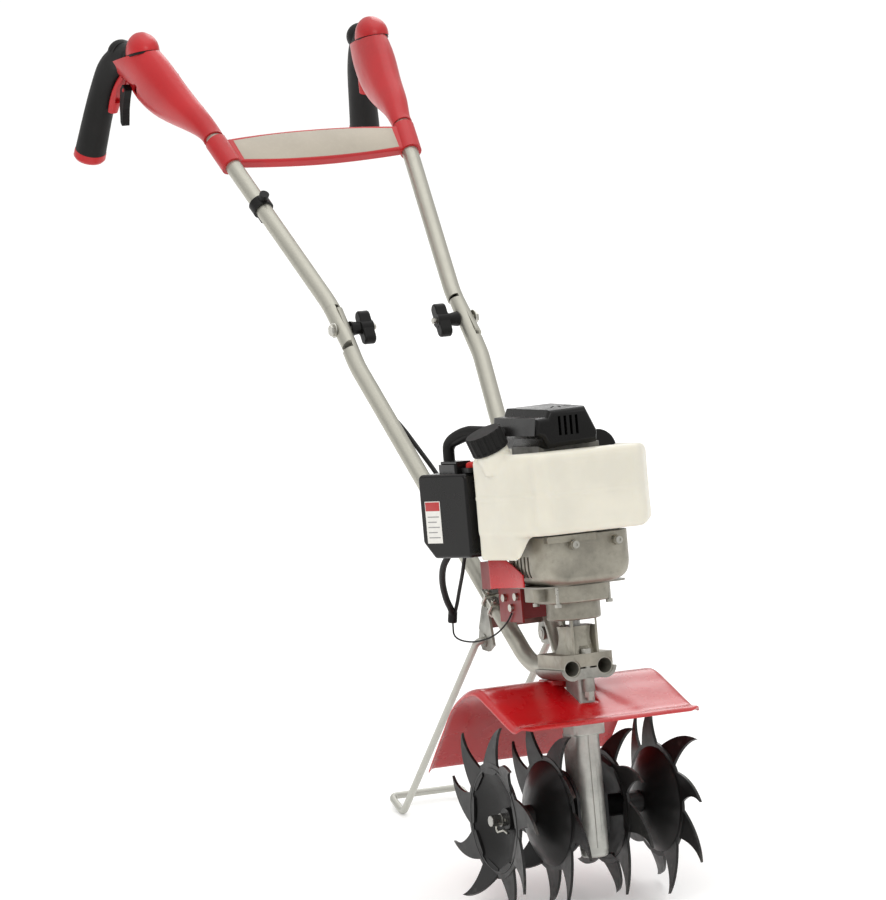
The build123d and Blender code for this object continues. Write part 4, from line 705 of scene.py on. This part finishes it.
def build_tank():
    plan = [(-72, -94), (66, -94), (99, -52), (104, 6), (72, 6), (66, -48), (-66, -48), (-86, -30), (-86, 21), (-114, 22), (-104, -50)]
    a = prism(plan, 349.5, 450, 12, 10, 7)
    lob = prism([(-72, -62), (-98, -54), (-112.5, 19), (-88, 19), (-88, -24)], 326, 372, 8, 4, 7)
    nk = lathe_mesh([(20.5, -12), (20.5, 13.0), (19.5, 14.0), (17.5, 14.2), (17.5, 20.0), (15.2, 20.4)], CAPO, CAPD)
    o = join_remesh([a, lob, nk], 2.0, 5)
    me = o.data
    co = np.array([v.co for v in me.vertices])
    nr = np.array([v.normal for v in me.vertices])
    d = np.zeros(len(co))
    x, y, z = co[:, 0], co[:, 1], co[:, 2]
    side = np.clip(1.0 - np.abs(nr[:, 2]) * 1.6, 0, 1)
    # parting bead of the moulding
    d += 0.9 * side * np.exp(-((z - 398.0) / 1.3) ** 2)
    # shallow pressed panel on the broad front, groove beside the left corner
    front = (y < -90.5)
    pan = 1 / (1 + np.exp((np.abs(x + 3) - 55) / 1.5)) / (1 + np.exp((np.abs(z - 400) - 36) / 1.5))
    d -= front * 1.4 * pan
    s = (x + 72) * (-0.588) + (y + 94) * 0.809
    onleft = (nr[:, 0] < -0.45) & (nr[:, 1] < -0.2)
    d -= onleft * 2.2 * np.exp(-((s - 17.0) / 6.0) ** 2) * np.clip((z - 352) / 10, 0, 1) * np.clip((446 - z) / 8, 0, 1)
    # soft sag of the big walls
    d -= side * 1.0 * np.cos((z - 400) / 50.0 * 1.5) * 0.5
    co = co + nr * d[:, None]
    z0 = co[:, 2].copy()
    low = np.clip((352 - z0) / 26, 0, 1)
    co[:, 0] -= np.where(co[:, 0] > -100, low * 19.0 * np.clip((co[:, 0] + 100) / 22, 0, 1) * np.clip((-18 - co[:, 1]) / 14, 0, 1), 0)
    co[:, 2] -= low * 4.0
    # right shoulder pulled in and its upper edge eased
    rs = np.clip((co[:, 0] - 62) / 40, 0, 1)
    co[:, 0] -= rs * 5.5
    co[:, 2] += rs * np.clip((400 - co[:, 2]) / 50, 0, 1) * 6.0
    co[:, 2] -= rs ** 2 * np.clip((co[:, 2] - 400) / 50, 0, 1) * 3.0
    out = [R(c) for c in co]
    me.vertices.foreach_set("co", np.array(out, dtype=np.float32).ravel())
    me.update()
    o.name = "fuel_tank_skin"
    me.materials.clear()
    me.materials.append(M["tank"])
    return o


tank = build_tank()
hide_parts("fuel_tank")
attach(tank, "frame")

# ------------------------------------------------------------------ carrying loop: fuller moulded section
lp = nurbs_line([R(p) for p in ((-98, 112, 433), (-98.5, 112.5, 452), (-98, 110, 468), (-88, 78, 479.5), (-80, 56, 478), (-68, 40, 476), (-54, 32, 474))], 3, 14)
tube("carry_loop_skin", lp, 0.0074, M["black_matte"], "frame", m=24)

# ------------------------------------------------------------------ starter cover: tapered toward the front
def build_cover():
    bm = bmesh.new()
    bm.from_mesh(NODES["recoil_case"].data)
    bmesh.ops.remove_doubles(bm, verts=bm.verts, dist=1e-6)
    for v in bm.verts:
        x, yr, zr = v.co * 1000.0
        y = AXLE_Y + (yr - ROW_Y) * CL - (zr - ROW_Z) * SL
        z = (yr - ROW_Y) * SL + (zr - ROW_Z) * CL
        t = min(1.0, max(0.0, (y - 18.0) / 40.0))
        t = t * t * (3 - 2 * t)
        if x < 0:
            x *= 0.70
        else:
            x *= 0.50 + 0.50 * t
        z -= 0.045 * max(0.0, 10 - y) * min(1.0, max(0.0, (z - 470) / 30.0))
        v.co = R((x, y, z))
    me = bpy.data.meshes.new("starter_cover_skin")
    bm.to_mesh(me)
    bm.free()
    o = bpy.data.objects.new("starter_cover_skin", me)
    COL.objects.link(o)
    me.materials.append(M["black_gloss"])
    auto_smooth(o, 30)
    return o


cover = build_cover()
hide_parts("recoil_case")
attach(cover, "frame")


def plate_strip(name, pts, z0, z1, th, mat):
    """Bent sheet that follows points (x, y) in plan between heights z0 and z1 (functions of 0..1)."""
    P = catmull([(p[0], p[1], 0.0) for p in pts], 8)
    n = len(P)
    verts, faces = [], []
    for i, p in enumerate(P):
        a, b = P[max(0, i - 1)], P[min(n - 1, i + 1)]
        d = np.array(b) - np.array(a)
        d /= np.linalg.norm(d)
        nrm = np.array([-d[1], d[0], 0.0])
        f = i / (n - 1)
        lo, hi = z0(f), z1(f)
        for q in ((nrm * 0, lo), (nrm * 0, hi), (nrm * th, hi), (nrm * th, lo)):
            w_ = np.array(p) + q[0]
            verts.append(R((w_[0], w_[1], q[1])))
    for i in range(n - 1):
        for q in range(4):
            faces.append((i * 4 + q, i * 4 + (q + 1) % 4, (i + 1) * 4 + (q + 1) % 4, (i + 1) * 4 + q))
    faces.append((3, 2, 1, 0))
    faces.append(tuple((n - 1) * 4 + q for q in range(4)))
    o = new_mesh(name, verts, faces, mat, None)
    recalc(o)
    md = o.modifiers.new("b", "BEVEL")
    md.width = 0.0006
    md.segments = 2
    md.angle_limit = math.radians(50)
    apply(o)
    auto_smooth(o, 40)
    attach(o, "frame")
    return o


plate_strip("shroud_side", [(-66.5, -8), (-67.5, 18), (-71.5, 44), (-77.5, 66)], lambda f: 284.5 - 1.5 * f, lambda f: 300 + 22 * min(1.0, f * 1.6), 2.0, M["red_paint"])

# ------------------------------------------------------------------ fan case: a bowl with rounded lower corners
def build_bowl():
    bm = bmesh.new()
    bm.from_mesh(NODES["fan_case"].data)
    bmesh.ops.remove_doubles(bm, verts=bm.verts, dist=1e-6)

    def plan(v):
        x, yr, zr = v.co * 1000.0
        return x, AXLE_Y + (yr - ROW_Y) * CL - (zr - ROW_Z) * SL, (yr - ROW_Y) * SL + (zr - ROW_Z) * CL

    zz = [plan(v)[2] for v in bm.verts]
    z0 = min(zz)
    up = Vector(R((0, 0, 1))) - Vector(R((0, 0, 0)))
    rad = 26.0
    for k in range(1, 10):
        h = z0 + rad * (1 - math.cos(math.pi / 2 * k / 9))
        bmesh.ops.bisect_plane(bm, geom=bm.verts[:] + bm.edges[:] + bm.faces[:], dist=1e-7, plane_co=Vector(R((0, 0, h))), plane_no=up.normalized())
    hw = max(abs(plan(v)[0]) for v in bm.verts)
    for v in bm.verts:
        x, y, z = plan(v)
        if z < z0 + rad:
            t = (z0 + rad - z) / rad
            sh = 20.0 * (1 - math.sqrt(max(0.0, 1 - t * t)))
            v.co = R((x * (1 - sh / hw), y, z))
    me = bpy.data.meshes.new("fan_case_skin")
    bm.to_mesh(me)
    bm.free()
    o = bpy.data.objects.new("fan_case_skin", me)
    COL.objects.link(o)
    me.materials.append(M["cast"])
    auto_smooth(o, 32)
    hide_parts("fan_case")
    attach(o, "frame")


build_bowl()

# ------------------------------------------------------------------ inlaid plate of the cross brace, with a narrow rim around it
def build_inlay():
    lo = catmull([(-113, 318.6, 0), (-60, 313.9, 0), (0, 312.3, 0), (60, 313.9, 0), (113, 318.6, 0)], 8)
    hi = catmull([(116, 355.2, 0), (60, 360.4, 0), (0, 362.0, 0), (-60, 360.4, 0), (-116, 355.2, 0)], 8)
    loop = [tuple(p[:2]) for p in lo + hi]
    n = len(loop)
    verts = [HP(x, q, -7.35) for x, q in loop] + [HP(x, q, 7.35) for x, q in loop]
    faces = [tuple(range(n - 1, -1, -1)), tuple(range(n, 2 * n))] + [(k, (k + 1) % n, n + (k + 1) % n, n + k) for k in range(n)]
    o = new_mesh("brace_inlay", verts, faces, M["panel"], None)
    recalc(o)
    md = o.modifiers.new("b", "BEVEL")
    md.width = 0.0005
    md.segments = 2
    md.angle_limit = math.radians(50)
    apply(o)
    auto_smooth(o, 40)
    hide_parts("brace_panel")
    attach(o, "handlebar")


build_inlay()

# ------------------------------------------------------------------ cable, rope
LD = np.array([0, 0.6212, 0.7837])
pv = np.array(PIV)


def LPm(t, dx, dn):
    c = np.array([22.5, 88.0, 180.0])
    e = pv - LD * 62
    u = (e - c) / np.linalg.norm(e - c)
    q = c + u * t
    return (-q[0] + dx, q[1] - 0.7837 * dn, q[2] + 0.6212 * dn)


route = [HPm(-150, 452, -47), HPm(-142, 428, -39), HPm(-131, 400, -27), HPm(-127.4, 345, -17.6), HPm(-124, 318, -17), HPm(-112, 240, -18), HPm(-98, 150, -18.4), HPm(-84, 62, -19), HPm(-80, 20, -19.5),
         HPm(-80, -25, -20), LPm(470, 8, -19), LPm(432, 12, -13), LPm(400, 17, -7), LPm(350, 18, 0), LPm(300, 19, 7), (-50, 222, 385), (-56, 180, 358), (-61, 140, 372), (-62, 122, 374), (-62, 102.05, 374)]
pts = nurbs_line([R(p) for p in route], 3, 14)
cab = tube("throttle_cable_line", pts, 0.0030, M["wire"], None, node="throttle_cable", m=16)
R((-80, 400, 575))
HP(-80, 55, -20)
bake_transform(cab)

# stop-switch leads, their joining sleeve, the earth wire and the ignition lead
w_pts = [[(-104, 122, 331), (-104, 128, 325), (-104, 148, 312), (-96, 172, 290), (-82, 194, 266), (-72.5, 203, 254), (-70.5, 204.4, 247)],
         [(-84, 122, 323), (-84, 126, 318), (-80, 142, 302), (-72, 176, 276), (-67.5, 196, 258), (-67.6, 203, 250)],
         [(-69.7, 207, 241), (-69.8, 208.5, 232), (-70, 208, 219), (-67, 190, 213), (-62, 158, 212), (-55, 118, 220), (-51.2, 88, 236), (-50.4, 76, 246), (-50.3, 72, 249.6)]]
for k_, (pp, rr_) in enumerate(zip(w_pts, (4.2, 2.4, 1.1))):
    o_ = tube("wiring_lead_%d" % k_, nurbs_line([R(p) for p in pp], 3, 10), rr_ / 1000, M["wire"], None, m=16)
    auto_smooth(o_, 50)
    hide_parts("wiring")
    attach(o_, "frame")
PO = Vector((0, 84, 401))
PD = Vector((0, 0.30, 0.954)).normalized()
PB = PO + PD * 52.4
l_pts = [tuple(PO + PD * 50), tuple(PB), (0, PB.y + 22, PB.z + 4), (10, 122, 452), (30, 134, 432), (42, 136, 390), (42, 135, 350), (37, 124, 322), (26, 106, 311), (14, 86, 311), (14, 62.02, 311)]
o_ = tube("wiring_ignition", nurbs_line([R(p) for p in l_pts], 3, 10), 0.0028, M["wire"], None, m=16)
auto_smooth(o_, 50)
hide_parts("wiring")
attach(o_, "frame")


def lathe_obj(name, prof, o3, d3, mat, body, node=None, m=36):
    """Turned piece: profile of (height, radius) along a direction, in mm."""
    o3, d3 = Vector(o3), Vector(d3).normalized()
    u = d3.orthogonal().normalized()
    v = d3.cross(u)
    verts, faces = [], []
    for h, r in prof:
        for k in range(m):
            a = 2 * math.pi * k / m
            p = o3 + d3 * h + (u * math.cos(a) + v * math.sin(a)) * r
            verts.append(R(tuple(p)))
    for i in range(len(prof) - 1):
        for k in range(m):
            faces.append((i * m + k, i * m + (k + 1) % m, (i + 1) * m + (k + 1) % m, (i + 1) * m + k))
    faces.append(tuple(range(m - 1, -1, -1)))
    faces.append(tuple((len(prof) - 1) * m + k for k in range(m)))
    ob = new_mesh(name, verts, faces, mat, None)
    recalc(ob)
    auto_smooth(ob, 40)
    if node:
        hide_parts(node)
    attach(ob, body)
    return ob


lathe_obj("wiring_sleeve", [(0, 4.6), (0.6, 5.4), (1.4, 5.8), (13.6, 6.0), (15.2, 5.6), (16, 4.6)], (-69, 206, 252), (-0.1, 0.1, -1), M["wire"], "frame", "wiring")
lathe_obj("wiring_boot", [(0, 6.6), (0.6, 8.2), (1.6, 8.5), (9, 8.5), (10, 7.9), (11, 8.5), (16, 8.3), (18.6, 6.8), (19.4, 4.4), (21.5, 3.2)], tuple(PO + PD * 34), tuple(PD), M["black_matte"], "frame", "wiring")

RG = Vector((0, 0.819, 0.574)).normalized()
RGO = Vector((10, 69.5, 480))
rp = [R(RGO + RG * h) for h in np.linspace(-36, 9.4, 40)]
rope = tube("starter_rope_line", rp, 0.0020, M["rope"], None, node="starter_rope", m=14)
R(RGO + RG * -34.0)
R(RGO + RG * 0.8)
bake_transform(rope)

# ------------------------------------------------------------------ moulded rubber grips over the CAD ones
def loft_sections(name, secs, mat, body, m=48, node=None, per=6, dome=(True, True)):
    """Closed skin through sections (x, s, n, rx, rn, tilt) of the handle frame, with rounded ends."""
    C = np.array(secs, float)
    fine = catmull([tuple(c) for c in C * np.array([1, 1, 1, 1, 1, 0.5])], per)
    fine = [np.array(f) * np.array([1, 1, 1, 1, 1, 2.0]) for f in fine]
    rows = [(f, 1.0) for f in fine]

    def axis(f):
        t = math.radians(f[5])
        return np.array([0.0, math.cos(t), math.sin(t)])
    ends = []
    for which, base, sg in ((0, fine[0], -1), (1, fine[-1], 1)):
        cap = []
        if dome[which]:
            h = min(base[3], base[4]) * 0.32
            for a in (0.35, 0.65, 0.85, 0.97):
                f = base.copy()
                f[:3] = base[:3] + axis(base) * sg * h * math.sin(a * math.pi / 2)
                cap.append((f, math.cos(a * math.pi / 2) ** 0.8))
        ends.append(cap)
    rows = ends[0][::-1] + rows + ends[1]
    verts, faces = [], []
    for f, k in rows:
        x, s_, n_, rx, rn, tilt = f
        t = math.radians(tilt)
        va = (-math.sin(t), math.cos(t))
        for q in range(m):
            a = 2 * math.pi * q / m
            e1, e2 = rx * k * math.cos(a), rn * k * math.sin(a)
            verts.append(HP(x + e1, s_ + va[0] * e2, n_ + va[1] * e2))
    L = len(rows)
    for i in range(L - 1):
        for q in range(m):
            faces.append((i * m + q, i * m + (q + 1) % m, (i + 1) * m + (q + 1) % m, (i + 1) * m + q))
    faces.append(tuple(reversed(range(m))))
    faces.append(tuple(range((L - 1) * m, L * m)))
    o = new_mesh(name, verts, faces, mat, body, node=node)
    recalc(o)
    return o


GP = [(-176, 572, -44, 16.5, 22, -30), (-181, 594, -58, 17.5, 20.5, -52), (-187, 603, -84, 18.5, 21.5, -74), (-192, 598, -116, 19.0, 21.5, -92), (-198, 586, -150, 19.5, 22.0, -100), (-204, 571, -184, 20.5, 23.0, -106), (-207, 563, -203, 21.0, 24.0, -108)]
for k, nm in ((1, "left"), (-1, "right")):
    g = loft_sections("grip_skin_" + nm, [(k * x, s_, n_, rx, rn, t) for x, s_, n_, rx, rn, t in GP], M["grip"], "handlebar")
    r_ = [(k * x, s_, n_, rx + 0.6, rn + 0.6, t) for x, s_, n_, rx, rn, t in ((-206.2, 565.3, -198.2, 20.8, 23.7, -107.6), (-206.8, 563.6, -201.8, 20.95, 23.9, -108.0), (-207.4, 561.9, -205.4, 21.1, 24.1, -108.4))]
    loft_sections("grip_end_cap_" + nm, r_, M["red_plastic"], "handlebar", per=3)

# ------------------------------------------------------------------ plain label on the air cleaner
def face_plane(y, z, off):
    """Point on the slanted outer face of the air cleaner."""
    x = -142 + (119 - y) * 0.245 - off
    return (x, y, z)


def label_piece(name, y0, y1, z0, z1, off, th, mat):
    def xf(p):
        x, y, z = p
        return R(face_plane(y, z, off + x))
    o = rounded_box(name, 0, th, y0, y1, z0, z1, min(th * 0.45, 0.12), mat, "air_cover", 2, xf)
    return o


label_piece("label_blank", 78, 107, 345, 397, 0.02, 0.25, M["label"])
label_piece("label_band", 79, 106, 385, 396, 0.28, 0.10, M["label_red"])
for i in range(5):
    label_piece("label_bar_%d" % i, 81.5 + (i % 2) * 5, 103.5, 377 - i * 6.4, 378.4 - i * 6.4, 0.28, 0.06, M["label_grey"])

# ------------------------------------------------------------------ stage, lights, camera
def stage_mat():
    t = NT("floor_pale")
    c = t.mix(t.noise(1.2, 2.0), (0.90, 0.90, 0.895), (0.94, 0.94, 0.935))
    t.set(Base_Color=c, Roughness=0.85)
    t.b.inputs["Emission Color"].default_value = (1, 1, 1, 1)
    t.b.inputs["Emission Strength"].default_value = 0.14
    return t.m


me = bpy.data.meshes.new("floor")
me.from_pydata([(-40, -40, 0), (40, -40, 0), (40, 40, 0), (-40, 40, 0)], [], [(0, 1, 2, 3)])
fl = bpy.data.objects.new("floor", me)
COL.objects.link(fl)
me.materials.append(stage_mat())

w = bpy.data.worlds.new("studio")
bpy.context.scene.world = w
w.use_nodes = True
wt = w.node_tree
bg = wt.nodes["Background"]
wc = wt.nodes.new("ShaderNodeTexCoord")
ws = wt.nodes.new("ShaderNodeSeparateXYZ")
wm = wt.nodes.new("ShaderNodeMapRange")
wt.links.new(wc.outputs["Generated"], ws.inputs[0])
wt.links.new(ws.outputs[2], wm.inputs[0])
for i, v in enumerate((0.0, 0.9, 0.50, 1.16)):
    wm.inputs[1 + i].default_value = v
wt.links.new(wm.outputs[0], bg.inputs[1])
bg.inputs[0].default_value = (1.0, 0.997, 0.99, 1)
bpy.context.scene.view_settings.view_transform = "Standard"


def area(name, loc, target, size, power, col=(1, 1, 1)):
    d = bpy.data.lights.new(name, "AREA")
    d.shape = "RECTANGLE"
    d.size, d.size_y = size
    d.energy = power
    d.color = col
    o = bpy.data.objects.new(name, d)
    COL.objects.link(o)
    o.location = loc
    o.rotation_euler = (Vector(target) - Vector(loc)).to_track_quat("-Z", "Y").to_euler()
    return o


area("key", (-2.2, -2.6, 3.2), (0, -0.2, 0.5), (2.2, 1.6), 34, (1, 0.985, 0.96))
area("fill", (2.6, -2.4, 1.8), (0, -0.2, 0.5), (2.0, 2.0), 6)
area("top", (0.2, 0.6, 3.4), (0, 0, 0.4), (2.6, 2.6), 14)
area("rim", (1.6, 2.6, 2.2), (0, 0.0, 0.6), (1.2, 2.0), 16)

AZ, EL, ROLL, F_PX, DIST = math.radians(-25.2), math.radians(14.1), math.radians(0.5), 5500.0, 7.078
TGT = Vector((0.0, -0.1039, 0.4873))
b = Vector((math.sin(AZ) * math.cos(EL), -math.cos(AZ) * math.cos(EL), math.sin(EL)))
r = Vector((math.cos(AZ), math.sin(AZ), 0))
u = b.cross(r)
r2 = r * math.cos(ROLL) + u * math.sin(ROLL)
u2 = u * math.cos(ROLL) - r * math.sin(ROLL)
cd = bpy.data.cameras.new("camera")
cd.sensor_fit = "HORIZONTAL"
cd.sensor_width = 36.0
cd.lens = F_PX / 886.0 * 36.0
cd.clip_end = 100.0
cam = bpy.data.objects.new("camera", cd)
COL.objects.link(cam)
loc = TGT + b * DIST
cam.matrix_world = Matrix(((r2.x, u2.x, b.x, loc.x), (r2.y, u2.y, b.y, loc.y), (r2.z, u2.z, b.z, loc.z), (0, 0, 0, 1)))
bpy.context.scene.camera = cam

bpy.context.view_layer.update()
